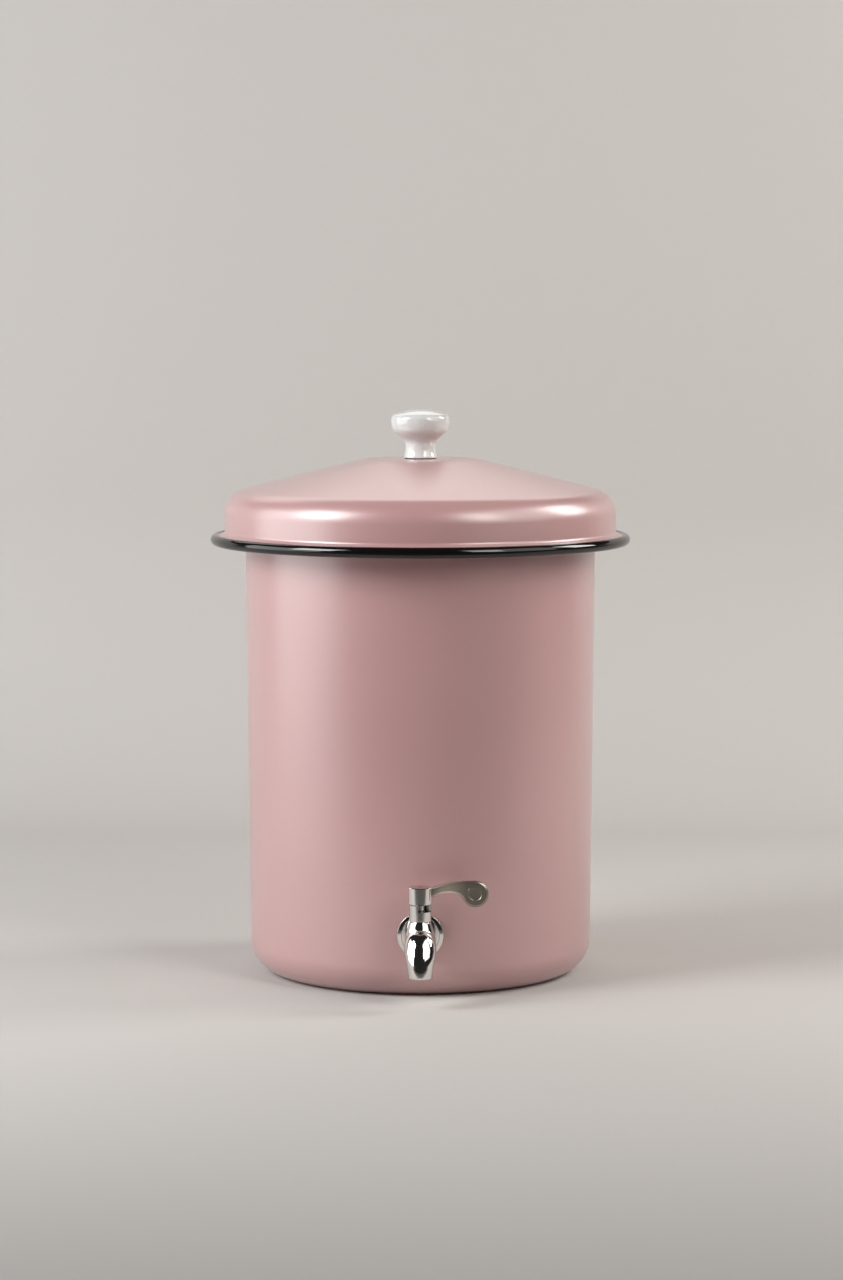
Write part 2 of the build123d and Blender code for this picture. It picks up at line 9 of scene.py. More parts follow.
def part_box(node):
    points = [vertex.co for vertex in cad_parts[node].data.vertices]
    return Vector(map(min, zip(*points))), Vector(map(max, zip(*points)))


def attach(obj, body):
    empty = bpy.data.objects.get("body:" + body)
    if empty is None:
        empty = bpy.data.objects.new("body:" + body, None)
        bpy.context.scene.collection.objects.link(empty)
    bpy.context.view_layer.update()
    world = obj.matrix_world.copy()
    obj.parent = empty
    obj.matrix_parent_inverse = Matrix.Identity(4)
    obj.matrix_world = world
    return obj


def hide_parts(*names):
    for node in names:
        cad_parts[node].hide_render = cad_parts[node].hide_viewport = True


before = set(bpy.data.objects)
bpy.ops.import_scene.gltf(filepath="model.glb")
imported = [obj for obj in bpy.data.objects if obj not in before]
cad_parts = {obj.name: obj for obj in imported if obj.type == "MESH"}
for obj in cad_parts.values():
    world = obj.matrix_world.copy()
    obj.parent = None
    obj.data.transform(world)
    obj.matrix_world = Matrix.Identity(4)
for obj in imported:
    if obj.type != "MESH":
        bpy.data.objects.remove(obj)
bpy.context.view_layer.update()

# Gravity water filter: enamelled steel vessel, clay pot, hat-shaped lid with a porcelain knob, and
# a quarter-turn tap. Everything is in metres, in the frame of the packed model: origin on the floor
# under the vessel's axis, +Z up, the tap towards -Y.

bl_info = {
    "name": "Gravity Water Filter",
    "version": (1, 0, 0),
    "blender": (4, 5, 0),
    "location": "3D View > Sidebar > Water Filter",
    "description": "Builds an enamelled gravity water filter with a clay pot, a lid and a tap",
    "category": "Add Mesh",
}

MM = 0.001


# ---------------------------------------- places read from the frame
def reach(node):
    """Radius of a node that is turned about the vessel's axis."""
    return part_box(node)[1].x


def foot(node):
    """Lowest height of a node."""
    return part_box(node)[0].z


def head(node):
    """Highest height of a node."""
    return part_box(node)[1].z


WALL_RISE = head("vessel_wall") - head("vessel_bottom")
WALL_SLOPE = (reach("vessel_wall") - reach("vessel_bottom")) / WALL_RISE


def wall_radius(height):
    """Outside radius of the vessel's wall at a height."""
    return reach("vessel_bottom") + (height - head("vessel_bottom")) * WALL_SLOPE


TAP_HEIGHT = (foot("tap_back_washer") + head("tap_back_washer")) / 2
WALL_FACE = wall_radius(TAP_HEIGHT)
STEM_AXIS = (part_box("handle_hub")[0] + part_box("handle_hub")[1]) / 2
STEM_OUT = -STEM_AXIS.y - WALL_FACE        # from the wall to the stem's axis
STEM_PLACE = Matrix.Translation((0, STEM_AXIS.y, 0))
TOWARDS_TAP = Matrix.Rotation(radians(90), 4, "X")
SHANK_PLACE = Matrix.Translation((0, -WALL_FACE, TAP_HEIGHT)) @ TOWARDS_TAP


# ---------------------------------------- sizes and finishes that a user would change
def length(name, default, description):
    """A length property in metres."""
    return FloatProperty(
        name=name, description=description, default=default, min=0, unit="LENGTH", precision=5
    )


def size_mm(name, default, description):
    """A length property, its default given in millimetres."""
    return length(name, default * MM, description)


def angle(name, default, description):
    """An angle property, its default given in degrees."""
    return FloatProperty(
        name=name, description=description, default=radians(default), subtype="ANGLE"
    )


def colour(name, default, description):
    """A colour property, linear."""
    return FloatVectorProperty(
        name=name, description=description, default=default, subtype="COLOR", size=3, min=0, max=1
    )


class VesselSizes(bpy.types.PropertyGroup):
    """Enamelled vessel."""

    height: length("Height", head("vessel_rim"), "Floor to the top of the rim")
    rim_radius: length("Rim radius", reach("vessel_rim"), "Outside of the curled edge")
    sheet: size_mm("Sheet", 1.2, "Thickness of the enamelled sheet")
    corner: size_mm("Foot corner", 28.0, "Outside radius between floor and wall")
    flare: size_mm("Flare", 6.0, "Hollow between wall and rim")
    curl: size_mm("Curl", 2.0, "Outside radius of the curled edge")
    curl_turn: angle("Curl turn", 250, "How far the edge is curled round")
    tap_hole: size_mm("Tap hole", 8.1, "Radius of the hole for the tap")


class LidSizes(bpy.types.PropertyGroup):
    """Pressed lid and its edge band."""

    wall_radius: size_mm("Wall radius", 168.5, "Outside of the lid's wall")
    brim_slope: angle("Brim slope", 15.6, "Fall of the brim")
    brim_fillet: size_mm("Brim fillet", 3.5, "Hollow between wall and brim")
    cone_slope: angle("Cone slope", 14.3, "Fall of the cone")
    shoulder: size_mm("Shoulder", 21.2, "Radius between wall and cone")
    flat_radius: size_mm("Flat radius", 49.0, "Where cone and flat top would meet")
    flat_blend: size_mm("Flat blend", 60.0, "Radius between cone and flat top")
    screw_hole: size_mm("Screw hole", 2.8, "Radius of the hole for the knob's screw")


class KnobSizes(bpy.types.PropertyGroup):
    """Porcelain knob. Heights are above its foot."""

    base_radius: size_mm("Base radius", 14.3, "Foot of the knob")
    base_band: size_mm("Base band", 1.5, "Straight foot of the knob")
    neck_radius: size_mm("Neck radius", 12.9, "Narrowest radius")
    neck_height: size_mm("Neck height", 10.5, "Height of the narrowest radius")
    collar_radius: size_mm("Collar radius", 14.4, "Top of the hollow neck")
    collar_height: size_mm("Collar height", 15.3, "Height of the top of the neck")
    under_radius: size_mm("Under radius", 22.5, "Lower edge of the head")
    under_height: size_mm("Under height", 22.0, "Height of the head's lower edge")
    widest_height: size_mm("Widest height", 29.4, "Height of the widest radius")
    brow_radius: size_mm("Brow radius", 24.4, "Upper edge of the head")
    brow_height: size_mm("Brow height", 36.9, "Height of the head's upper edge")
    easing: size_mm("Easing", 2.8, "How far each edge is rounded")
    pocket_radius: size_mm("Pocket radius", 4.5, "Pocket for the threaded insert")
    pocket_depth: size_mm("Pocket depth", 13.0, "Depth of that pocket")


class PotSizes(bpy.types.PropertyGroup):
    """Clay filter pot."""

    lip: size_mm("Lip", 14.0, "Thickness of the lip")
    mouth_radius: size_mm("Mouth radius", 141.0, "Outside of the wall under the lip")
    base_radius: size_mm("Base radius", 112.0, "Outside of the wall carried to the base")
    wall: size_mm("Wall", 13.0, "Thickness of the wall")
    base: size_mm("Base", 16.0, "Thickness of the base")
    corner: size_mm("Corner", 24.0, "Outside radius at the base")
    inner_corner: size_mm("Inner corner", 17.5, "Inside radius at the base")
    edge: size_mm("Edge", 3.0, "Rounding of the lip")
    ridge_pitch: size_mm("Ridge pitch", 6.5, "From one throwing ridge to the next")
    ridge_depth: size_mm("Ridge depth", 0.35, "Depth of the throwing ridges")


class TapSizes(bpy.types.PropertyGroup):
    """Cast tap. Distances out are from the wall, heights are from the shank's axis."""

    shank_radius: size_mm("Shank radius", 7.9, "Outside of the thread")
    shank_inside: size_mm("Shank inside", 22.0, "Shank behind the wall")
    thread_pitch: size_mm("Thread pitch", 1.5, "From one crest to the next")
    thread_depth: size_mm("Thread depth", 0.8, "From crest to root")
    face: size_mm("Face", 3.5, "Where the collar meets the cover plate")
    collar_radius: size_mm("Collar radius", 12.5, "Collar at the cover plate")
    collar_length: size_mm("Collar length", 9.5, "Collar, along the shank")
    arm_radius: size_mm("Arm radius", 9.8, "Between collar and barrel")
    plate: size_mm("Plate", 1.5, "Thickness of the cover plate's dish")
    plate_ring: size_mm("Plate ring", 3.6, "Width of the ring round the cover plate")
    plate_slope: size_mm("Plate slope", 0.75, "Fall of that ring to its edge")
    inlet_radius: size_mm("Inlet radius", 3.2, "Water way in the shank")
    chamber_radius: size_mm("Chamber radius", 5.6, "Bore for sleeve and stem")
    chamber_depth: size_mm("Chamber depth", 7.5, "Chamber's floor below the axis")
    neck_radius: size_mm("Neck radius", 7.0, "Neck in the bonnet")
    neck_top: size_mm("Neck top", 20.5, "End of the neck above the axis")
    barrel_top_radius: size_mm("Barrel top radius", 8.8, "Barrel under the bonnet")
    barrel_top: size_mm("Barrel top", 16.1, "Top of the barrel above the axis")
    barrel_radius: size_mm("Barrel radius", 13.1, "Widest radius of the barrel")
    barrel_drop: size_mm("Barrel drop", 2.5, "Widest place below the axis")
    barrel_depth: size_mm("Barrel depth", 11.5, "Bottom of the barrel below the axis")
    spout_lead: size_mm("Spout lead", 1.0, "Straight stretch before the bend")
    spout_bend: size_mm("Spout bend", 14.0, "Radius of the spout's bend")
    spout_end: size_mm("Spout end", 27.1, "Mouth above the floor")
    softness: size_mm("Softness", 0.42, "Grain at which the casting's hollows are smoothed")


class MedallionSizes(bpy.types.PropertyGroup):
    """Plain medallion in the lever's disc."""

    rim: size_mm("Rim", 1.3, "Width of the raised rim")
    sink: size_mm("Sink", 0.35, "Field below the rim")
    easing: size_mm("Easing", 0.15, "Rounding of its edges")


class Finishes(bpy.types.PropertyGroup):
    """Colours of the finishes."""

    enamel: colour("Enamel", (0.472, 0.267, 0.266), "Pink enamel")
    band: colour("Band", (0.004, 0.004, 0.004), "Black enamel of the edge band")
    glaze: colour("Glaze", (0.63, 0.63, 0.62), "White glaze of the knob")
    clay: colour("Clay", (0.50, 0.235, 0.13), "Fired clay")
    chrome: colour("Chrome", (0.76, 0.75, 0.72), "Polished plating")
    satin: colour("Satin plating", (0.74, 0.66, 0.56), "Satin plating of the lever")
    steel: colour("Steel", (0.56, 0.56, 0.55), "Stainless steel")
    brass: colour("Brass", (0.72, 0.53, 0.24), "Brass")
    silicone: colour("Silicone", (0.74, 0.73, 0.70), "Seals")
    rubber: colour("Rubber", (0.02, 0.02, 0.02), "O-rings and washers")
    polymer: colour("Polymer", (0.82, 0.82, 0.80), "Sleeve and thrust washer")


class StageSettings(bpy.types.PropertyGroup):
    """Camera, lamps and backdrop."""

    camera_distance: length("Camera distance", 3.205, "Camera in front of the vessel's axis")
    camera_height: length("Camera height", 0.590, "Camera above the floor")
    camera_side: length("Camera side", 0.001, "Camera to the right of the axis")
    camera_pitch: angle("Camera pitch", 5.4, "How far the camera looks down")
    lens: FloatProperty(name="Lens", description="Focal length, in millimetres", default=104.6)
    backdrop: length("Backdrop", 1.15, "Backdrop behind the axis")
    backdrop_colour: colour("Backdrop colour", (0.500, 0.477, 0.460), "Backdrop and floor")
    segments: IntProperty(
        name="Segments", description="Steps round a turned piece", default=256, min=24
    )


# ---------------------------------------- outlines: lists of (across, up) points
ARC_STEP = radians(5)
EASE_STEPS = 8
SHORTEST = 1e-9                # a stretch shorter than this has no direction
LEAST_SPREAD = 0.5             # holds a sheet's sharp corners near their outline


def arc(centre, radius, start, turn):
    """Points round part of a circle, from a start angle through a signed turn."""
    steps = max(2, round(abs(turn) / ARC_STEP))
    turns = [start + turn * i / steps for i in range(steps + 1)]
    return [Vector((centre[0] + radius * cos(a), centre[1] + radius * sin(a))) for a in turns]


def rounded(corners, radii):
    """Outline through corners, each inner corner rounded to its radius."""
    corners = [Vector(c) for c in corners]
    outline = [corners[0]]
    for before, corner, after, radius in zip(corners, corners[1:], corners[2:], radii):
        back = (before - corner).normalized()
        on = (after - corner).normalized()
        half = back.angle(on) / 2
        centre = corner + (back + on).normalized() * radius / sin(half)
        start = corner + back * radius / tan(half) - centre
        turn = (pi - 2 * half) * (1 if back.cross(on) < 0 else -1)
        outline += arc(centre, radius, atan2(start.y, start.x), turn)
    return outline + [corners[-1]]


def arc_through(start, middle, end):
    """Points of the arc from start to end through a middle point."""
    a, b, c = Vector(start), Vector(middle), Vector(end)
    far_a, far_b, far_c = a.length_squared, b.length_squared, c.length_squared
    d = 2 * (a.x * (b.y - c.y) + b.x * (c.y - a.y) + c.x * (a.y - b.y))
    x = (far_a * (b.y - c.y) + far_b * (c.y - a.y) + far_c * (a.y - b.y)) / d
    y = (far_a * (c.x - b.x) + far_b * (a.x - c.x) + far_c * (b.x - a.x)) / d
    first = atan2(a.y - y, a.x - x)
    turn = (atan2(c.y - y, c.x - x) - first) % (2 * pi)
    if (atan2(b.y - y, b.x - x) - first) % (2 * pi) > turn:
        turn -= 2 * pi
    return arc((x, y), (a - Vector((x, y))).length, first, turn)


def eased(first, second, distance):
    """Two outlines that share a corner, joined by a soft curve that starts that far from it."""
    corner = first[-1]

    def trimmed(points):
        kept = [p for p in points if (p - corner).length > distance]
        near = points[points.index(kept[-1]) + 1]
        span = near - kept[-1]
        share = ((kept[-1] - corner).length - distance) / max(span.length, SHORTEST)
        return kept, kept[-1] + span * min(share, 1)

    kept_first, start = trimmed(first)
    kept_second, end = trimmed(second[::-1])
    curve = []
    for i in range(EASE_STEPS + 1):
        t = i / EASE_STEPS
        curve.append(start * (1 - t) ** 2 + corner * 2 * t * (1 - t) + end * t * t)
    return kept_first + curve + kept_second[::-1]


def chained(outlines, distance):
    """Outlines that meet end to end, every meeting point eased."""
    whole = outlines[0]
    for outline in outlines[1:]:
        whole = eased(whole, outline, distance)
    return whole


def beside(outline, distance):
    """The outline moved to its left by a distance."""
    moved = []
    for i, point in enumerate(outline):
        before = point - outline[i - 1] if i else Vector((0, 0))
        after = outline[i + 1] - point if i + 1 < len(outline) else Vector((0, 0))
        along = (before.normalized() + after.normalized()).normalized()
        spread = along.dot((before if before.length else after).normalized())
        moved.append(point + Vector((-along.y, along.x)) * distance / max(spread, LEAST_SPREAD))
    return moved


def stepped(outline, step):
    """The outline with its long stretches split into short ones."""
    points = [outline[0]]
    for start, end in zip(outline, outline[1:]):
        count = max(1, round((end - start).length / step))
        points += [start.lerp(end, i / count) for i in range(1, count + 1)]
    return points


def sheet_outline(skin, thickness):
    """Outline of a pressed sheet with one skin along an outline and its thickness to the left."""
    return skin + beside(skin, thickness)[::-1]


# ---------------------------------------- meshes
MERGE_REACH = 1e-6             # points nearer than this are one
POLE_REACH = 0.005 * MM        # points this near the axis belong to a pole
CYLINDER_SEGMENTS = 96


def new_object(name, data):
    """An object in the scene, at the origin."""
    obj = bpy.data.objects.new(name, data)
    bpy.context.scene.collection.objects.link(obj)
    return obj


def discard(obj):
    """Removes an object and its mesh."""
    mesh = obj.data
    bpy.data.objects.remove(obj)
    bpy.data.meshes.remove(mesh)


def settle(obj):
    """Turns an object and its modifiers into one plain mesh."""
    graph = bpy.context.evaluated_depsgraph_get()
    mesh = bpy.data.meshes.new_from_object(obj.evaluated_get(graph), depsgraph=graph)
    spare = obj.data
    obj.modifiers.clear()
    obj.data = mesh
    mesh.name = obj.name
    bpy.data.meshes.remove(spare)
    return obj


def tidy_mesh(obj, crease=35):
    """Merges doubles, turns the faces outwards and shades them smooth between creases."""
    shape = bmesh.new()
    shape.from_mesh(obj.data)
    bmesh.ops.remove_doubles(shape, verts=shape.verts, dist=MERGE_REACH)
    bmesh.ops.dissolve_degenerate(shape, edges=shape.edges, dist=MERGE_REACH)
    bmesh.ops.recalc_face_normals(shape, faces=shape.faces)
    for face in shape.faces:
        face.smooth = True
    shape.to_mesh(obj.data)
    shape.free()
    obj.data.set_sharp_from_angle(angle=radians(crease))
    return obj


def add_node(tree, kind, inputs=(), **settings):
    """A node with its settings, each input given a constant or linked to another node's socket."""
    node = tree.nodes.new(kind)
    for name, value in settings.items():
        setattr(node, name, value)
    for key, value in dict(inputs).items():
        if isinstance(value, bpy.types.NodeSocket):
            tree.links.new(value, node.inputs[key])
        else:
            node.inputs[key].default_value = value
    return node


def open_tree(title, *inputs):
    """A Geometry Nodes tree with named inputs, and the sockets that they come from."""
    tree = bpy.data.node_groups.new(title, "GeometryNodeTree")
    first, last = ("Geometry", "Geometry", None), ("Material", "Material", None)
    for name, kind, default in (first, *inputs, last):
        socket = tree.interface.new_socket(name, in_out="INPUT", socket_type="NodeSocket" + kind)
        if default is not None:
            socket.default_value = default
    tree.interface.new_socket("Geometry", in_out="OUTPUT", socket_type="NodeSocketGeometry")
    return tree, add_node(tree, "NodeGroupInput").outputs


def close_tree(tree, geometry, material):
    """Ends a tree with its instances realized and its material set."""
    real = add_node(tree, "GeometryNodeRealizeInstances", {"Geometry": geometry})
    painted = add_node(
        tree, "GeometryNodeSetMaterial", {"Geometry": real.outputs[0], "Material": material}
    )
    add_node(tree, "NodeGroupOutput", {"Geometry": painted.outputs[0]})


def turning_tree(title):
    """Turns an outline of edges, drawn as x for radius and y for height, about the Z axis."""
    tree, source = open_tree(title, ("Segments", "Int", 128))
    curve = add_node(tree, "GeometryNodeMeshToCurve", {"Mesh": source["Geometry"]})
    place = {"Geometry": curve.outputs["Curve"], "Translation": (-1, 0, 0), "Scale": (1, -1, 1)}
    section = add_node(tree, "GeometryNodeTransform", place)
    circle = add_node(
        tree, "GeometryNodeCurvePrimitiveCircle", {"Resolution": source["Segments"], "Radius": 1}
    )
    upright = add_node(
        tree, "GeometryNodeSetCurveNormal", {"Curve": circle.outputs["Curve"]}, mode="Z_UP"
    )
    sweep = {"Curve": upright.outputs["Curve"], "Profile Curve": section.outputs["Geometry"]}
    skin = add_node(tree, "GeometryNodeCurveToMesh", sweep)
    close_tree(tree, skin.outputs["Mesh"], source["Material"])


def swept_tree(title):
    """Sweeps a disc along a path of edges, its radius read from the path's points."""
    tree, source = open_tree(title, ("Segments", "Int", 64))
    path = add_node(tree, "GeometryNodeMeshToCurve", {"Mesh": source["Geometry"]})
    girth = add_node(
        tree, "GeometryNodeInputNamedAttribute", {"Name": "girth"}, data_type="FLOAT"
    )
    disc = add_node(
        tree, "GeometryNodeCurvePrimitiveCircle", {"Resolution": source["Segments"], "Radius": 1}
    )
    sweep = {
        "Curve": path.outputs["Curve"],
        "Profile Curve": disc.outputs["Curve"],
        "Scale": girth.outputs["Attribute"],
        "Fill Caps": True,
    }
    skin = add_node(tree, "GeometryNodeCurveToMesh", sweep)
    close_tree(tree, skin.outputs["Mesh"], source["Material"])


def helix_tree(title):
    """Sinks a helix, such as a screw thread or throwing ridges, in between two heights."""
    tree, source = open_tree(
        title,
        ("Pitch", "Float", 1 * MM),
        ("Depth", "Float", 1 * MM),
        ("Low", "Float", 0.0),
        ("High", "Float", 1.0),
    )
    pitch = source["Pitch"]

    def math(operation, *values):
        node = add_node(tree, "ShaderNodeMath", dict(enumerate(values)), operation=operation)
        return node.outputs["Value"]

    position = add_node(tree, "GeometryNodeInputPosition").outputs["Position"]
    x, y, z = add_node(tree, "ShaderNodeSeparateXYZ", {"Vector": position}).outputs
    turn = math("DIVIDE", math("ARCTAN2", y, x), 2 * pi)
    climb = math("DIVIDE", z, pitch)
    wave = math("MULTIPLY", math("PINGPONG", math("ADD", climb, turn), 0.5), 2)
    above = math("DIVIDE", math("SUBTRACT", z, source["Low"]), pitch)
    below = math("DIVIDE", math("SUBTRACT", source["High"], z), pitch)
    fade = math("MAXIMUM", math("MINIMUM", math("MINIMUM", above, below), 1), 0)
    sunk = math("MULTIPLY", math("MULTIPLY", wave, fade), source["Depth"])
    girth = math("SQRT", math("ADD", math("MULTIPLY", x, x), math("MULTIPLY", y, y)))
    share = math("SUBTRACT", 1, math("DIVIDE", sunk, math("MAXIMUM", girth, 0.1 * MM)))
    join = {"X": math("MULTIPLY", x, share), "Y": math("MULTIPLY", y, share), "Z": z}
    point = add_node(tree, "ShaderNodeCombineXYZ", join).outputs["Vector"]
    moved = {"Geometry": source["Geometry"], "Position": point}
    skin = add_node(tree, "GeometryNodeSetPosition", moved)
    close_tree(tree, skin.outputs["Geometry"], source["Material"])


TREE_MAKERS = {
    "Turned Piece": turning_tree,
    "Swept Piece": swept_tree,
    "Sunk Helix": helix_tree,
}


def run_tree(obj, title, **inputs):
    """Runs a Geometry Nodes tree, made on first use, on an object and keeps the result."""
    if title not in bpy.data.node_groups:
        TREE_MAKERS[title](title)
    tree = bpy.data.node_groups[title]
    modifier = obj.modifiers.new(title, "NODES")
    modifier.node_group = tree
    for item in tree.interface.items_tree:
        if item.in_out == "INPUT" and item.name.lower() in inputs:
            modifier[item.identifier] = inputs[item.name.lower()]
    return settle(obj)


def turned(name, outline, material, closed=True, segments=None, place=None, crease=35):
    """A piece turned about Z from its outline. An open outline starts and ends on the axis."""
    mesh = bpy.data.meshes.new(name)
    edges = [(i, i + 1) for i in range(len(outline) - 1)]
    if closed:
        edges.append((len(outline) - 1, 0))
    mesh.from_pydata([(x, y, 0) for x, y in outline], edges, [])
    steps = segments or bpy.context.scene.filter_stage.segments
    obj = run_tree(new_object(name, mesh), "Turned Piece", segments=steps, material=material)
    for vertex in obj.data.vertices:
        if vertex.co.xy.length < POLE_REACH:
            vertex.co.xy = (0, 0)
    tidy_mesh(obj, crease)
    if place is not None:
        obj.data.transform(place)
    return obj


def cylinder(name, radius, low, high, place, material):
    """A cylinder about Z between two heights, then placed."""
    outline = [(0, low), (radius, low), (radius, high), (0, high)]
    segments = CYLINDER_SEGMENTS
    return turned(name, outline, material, closed=False, segments=segments, place=place)


def swept(name, stations, material, segments=72):
    """A round piece swept through stations of centre and radius."""
    mesh = bpy.data.meshes.new(name)
    edges = [(i, i + 1) for i in range(len(stations) - 1)]
    mesh.from_pydata([centre for centre, _ in stations], edges, [])
    girth = mesh.attributes.new("girth", "FLOAT", "POINT")
    girth.data.foreach_set("value", [radius for _, radius in stations])
    obj = new_object(name, mesh)
    return tidy_mesh(run_tree(obj, "Swept Piece", segments=segments, material=material))


def fused(name, parts, grain, material):
    """Closed parts melted into one casting, its hollows and edges soft at the grain's scale."""
    shape = bmesh.new()
    for part in parts:
        shape.from_mesh(part.data)
        discard(part)
    mesh = bpy.data.meshes.new(name)
    shape.to_mesh(mesh)
    shape.free()
    mesh.materials.append(material)
    obj = new_object(name, mesh)
    melt = obj.modifiers.new("Melt", "REMESH")
    melt.mode = "VOXEL"
    melt.voxel_size = grain
    melt.use_smooth_shade = True
    smooth = obj.modifiers.new("Smooth", "SMOOTH")
    smooth.factor = 0.5
    smooth.iterations = 8
    return settle(obj)


def cut(obj, tool, operation="DIFFERENCE"):
    """Boolean of a piece with a tool, which is used up."""
    modifier = obj.modifiers.new("Cut", "BOOLEAN")
    modifier.operation = operation
    modifier.solver = "EXACT"
    modifier.object = tool
    settle(obj)
    discard(tool)
    return obj


def fitted(obj, body, slot, *nodes):
    """Puts a finished piece on its body, in place of the nodes that it stands for."""
    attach(obj, body)
    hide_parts(*nodes)


def dress(name, *nodes):
    """Gives carried-over nodes a finish."""
    for node in nodes:
        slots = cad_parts[node].material_slots
        if not slots:
            raise RuntimeError(f"{node} has no material slot")
        for slot in slots:
            slot.material = finish(name)


# ---------------------------------------- finishes
MIX_FACTOR, MIX_FIRST, MIX_SECOND, MIX_RESULT = 0, 6, 7, 2     # colour sockets of a Mix node
NOISE_REACH = (0.3, 0.7)       # most of a noise lies between these


class Finish:
    """A node material under construction, on Object coordinates. Sizes are in metres."""

    def __init__(self, name, base, roughness, metallic=0.0, **constants):
        self.material = bpy.data.materials.new(name)
        self.material.use_nodes = True
        self.tree = self.material.node_tree
        self.shader = self.tree.nodes["Principled BSDF"]
        self.base = (*base, 1)
        self.height = None
        constants.update(Base_Color=self.base, Roughness=roughness, Metallic=metallic)
        for socket, value in constants.items():
            self.shader.inputs[socket.replace("_", " ")].default_value = value
        self.place = self.add("TexCoord").outputs["Object"]

    def add(self, kind, inputs=(), **settings):
        """A shader node."""
        return add_node(self.tree, "ShaderNode" + kind, inputs, **settings)

    def drive(self, socket, value):
        """Links a value to a socket of the shader."""
        self.tree.links.new(value, self.shader.inputs[socket])

    def mapped(self, scale, centre=(0, 0, 0)):
        """Object coordinates about a centre, scaled by axis."""
        start = [-c * s for c, s in zip(centre, scale)]
        inputs = {"Vector": self.place, "Location": start, "Scale": scale}
        return self.add("Mapping", inputs).outputs["Vector"]

    def noise(self, size, detail, rough=0.5, vector=None):
        """Noise with features of about that size."""
        inputs = {"Scale": 1 / size, "Detail": detail, "Roughness": rough}
        return self.add("TexNoise", {"Vector": vector or self.place, **inputs}).outputs["Fac"]

    def ranged(self, value, start, end, low, high, **settings):
        """A value carried from the range start to end to the range low to high, and held there."""
        inputs = {"From Min": start, "From Max": end, "To Min": low, "To Max": high}
        return self.add("MapRange", {"Value": value, **inputs}, **settings).outputs["Result"]

    def along(self, axis):
        """Object coordinate along an axis."""
        return self.add("SeparateXYZ", {"Vector": self.place}).outputs[axis]

    def rings(self, pitch, centre, axis):
        """Turning marks: fine rings about an axis through a centre."""
        squash = [0 if name == axis else 1 for name in "XYZ"]
        place = self.mapped(squash, centre)
        distance = self.add("VectorMath", {0: place}, operation="LENGTH").outputs["Value"]
        scaled = self.add("Math", {0: distance, 1: 2 * pi / pitch}, operation="MULTIPLY")
        return self.add("Math", {0: scaled.outputs[0]}, operation="SINE").outputs[0]

    def tint(self, factor, tone):
        """Mixes another colour into the base by a factor."""
        links = self.shader.inputs["Base Color"].links
        below = links[0].from_socket if links else self.base
        inputs = {MIX_FACTOR: factor, MIX_FIRST: below, MIX_SECOND: (*tone, 1)}
        node = self.add("Mix", inputs, data_type="RGBA")
        self.drive("Base Color", node.outputs[MIX_RESULT])

    def clouds(self, size, detail, start, end, share, tone, rough=0.5):
        """Tints in patches, from nothing up to a share where the noise runs from start to end."""
        self.tint(self.ranged(self.noise(size, detail, rough), start, end, 0, share), tone)

    def specks(self, spacing, size, tone):
        """Tints round specks."""
        inputs = {"Vector": self.place, "Scale": 1 / spacing}
        distance = self.add("TexVoronoi", inputs).outputs["Distance"]
        self.tint(self.ranged(distance, size / spacing, 0, 0, 1), tone)

    def vary_roughness(self, factor, low, high):
        """Roughness that follows a factor between two values."""
        self.drive("Roughness", self.ranged(factor, *NOISE_REACH, low, high))

    def relief(self, height, depth, coat=False):
        """Bump of that depth over any relief already there."""
        inputs = {"Height": height, "Strength": 1, "Distance": depth}
        if self.height is not None:
            inputs["Normal"] = self.height
        self.height = self.add("Bump", inputs).outputs["Normal"]
        self.drive("Normal", self.height)
        if coat:
            self.drive("Coat Normal", self.height)


def darker(tone, share):
    """A colour at a share of its brightness."""
    return tuple(c * share for c in tone)


def pink_enamel(title, tones):
    """Smooth glassy enamel with a faint orange peel, cloudy tone and rare pinholes."""
    tone = tones.enamel
    made = Finish(title, tone, 0.36, IOR=1.80, Coat_Weight=1.0, Coat_Roughness=0.30)
    made.clouds(0.11, 1, start=0.35, end=0.70, share=0.5, tone=darker(tone, 0.95))
    made.specks(spacing=0.045, size=0.0005, tone=darker(tone, 0.60))
    made.vary_roughness(made.noise(0.08, 1), low=0.34, high=0.38)
    made.relief(made.noise(0.03, 1), depth=0.00002)
    return made.material


def black_enamel(title, tones):
    """Deep gloss black enamel, slightly wavy."""
    made = Finish(title, tones.band, 0.07, IOR=1.52)
    made.vary_roughness(made.noise(0.02, 3), low=0.05, high=0.12)
    made.relief(made.noise(0.012, 1), depth=0.00004)
    return made.material


def white_porcelain(title, tones):
    """Clear glaze over white porcelain, with rare iron specks."""
    tone = tones.glaze
    made = Finish(
        title, tone, 0.10, IOR=1.52, Coat_Weight=0.6, Coat_Roughness=0.04,
        Subsurface_Weight=0.08, Subsurface_Scale=0.003,
    )
    made.clouds(0.015, 3, start=0.4, end=0.8, share=0.5, tone=darker(tone, 0.95))
    made.specks(spacing=0.009, size=0.00025, tone=darker(tone, 0.45))
    made.relief(made.noise(0.008, 1), depth=0.00003, coat=True)
    return made.material


def fired_clay(title, tones):
    """Porous fired clay with throwing marks, pale bloom and soot-dark pores."""
    bloom, shade, pores = (0.60, 0.32, 0.20), (0.34, 0.15, 0.085), (0.20, 0.09, 0.055)
    made = Finish(title, tones.clay, 0.86)
    made.clouds(0.05, 5, start=0.35, end=0.7, share=0.8, tone=bloom, rough=0.6)
    made.clouds(0.012, 4, start=0.55, end=0.8, share=0.5, tone=shade)
    made.specks(spacing=0.0045, size=0.0007, tone=pores)
    made.relief(made.noise(0.0016, 4, 0.6), depth=0.0005)
    made.relief(made.noise(0.02, 3), depth=0.0006)
    return made.material


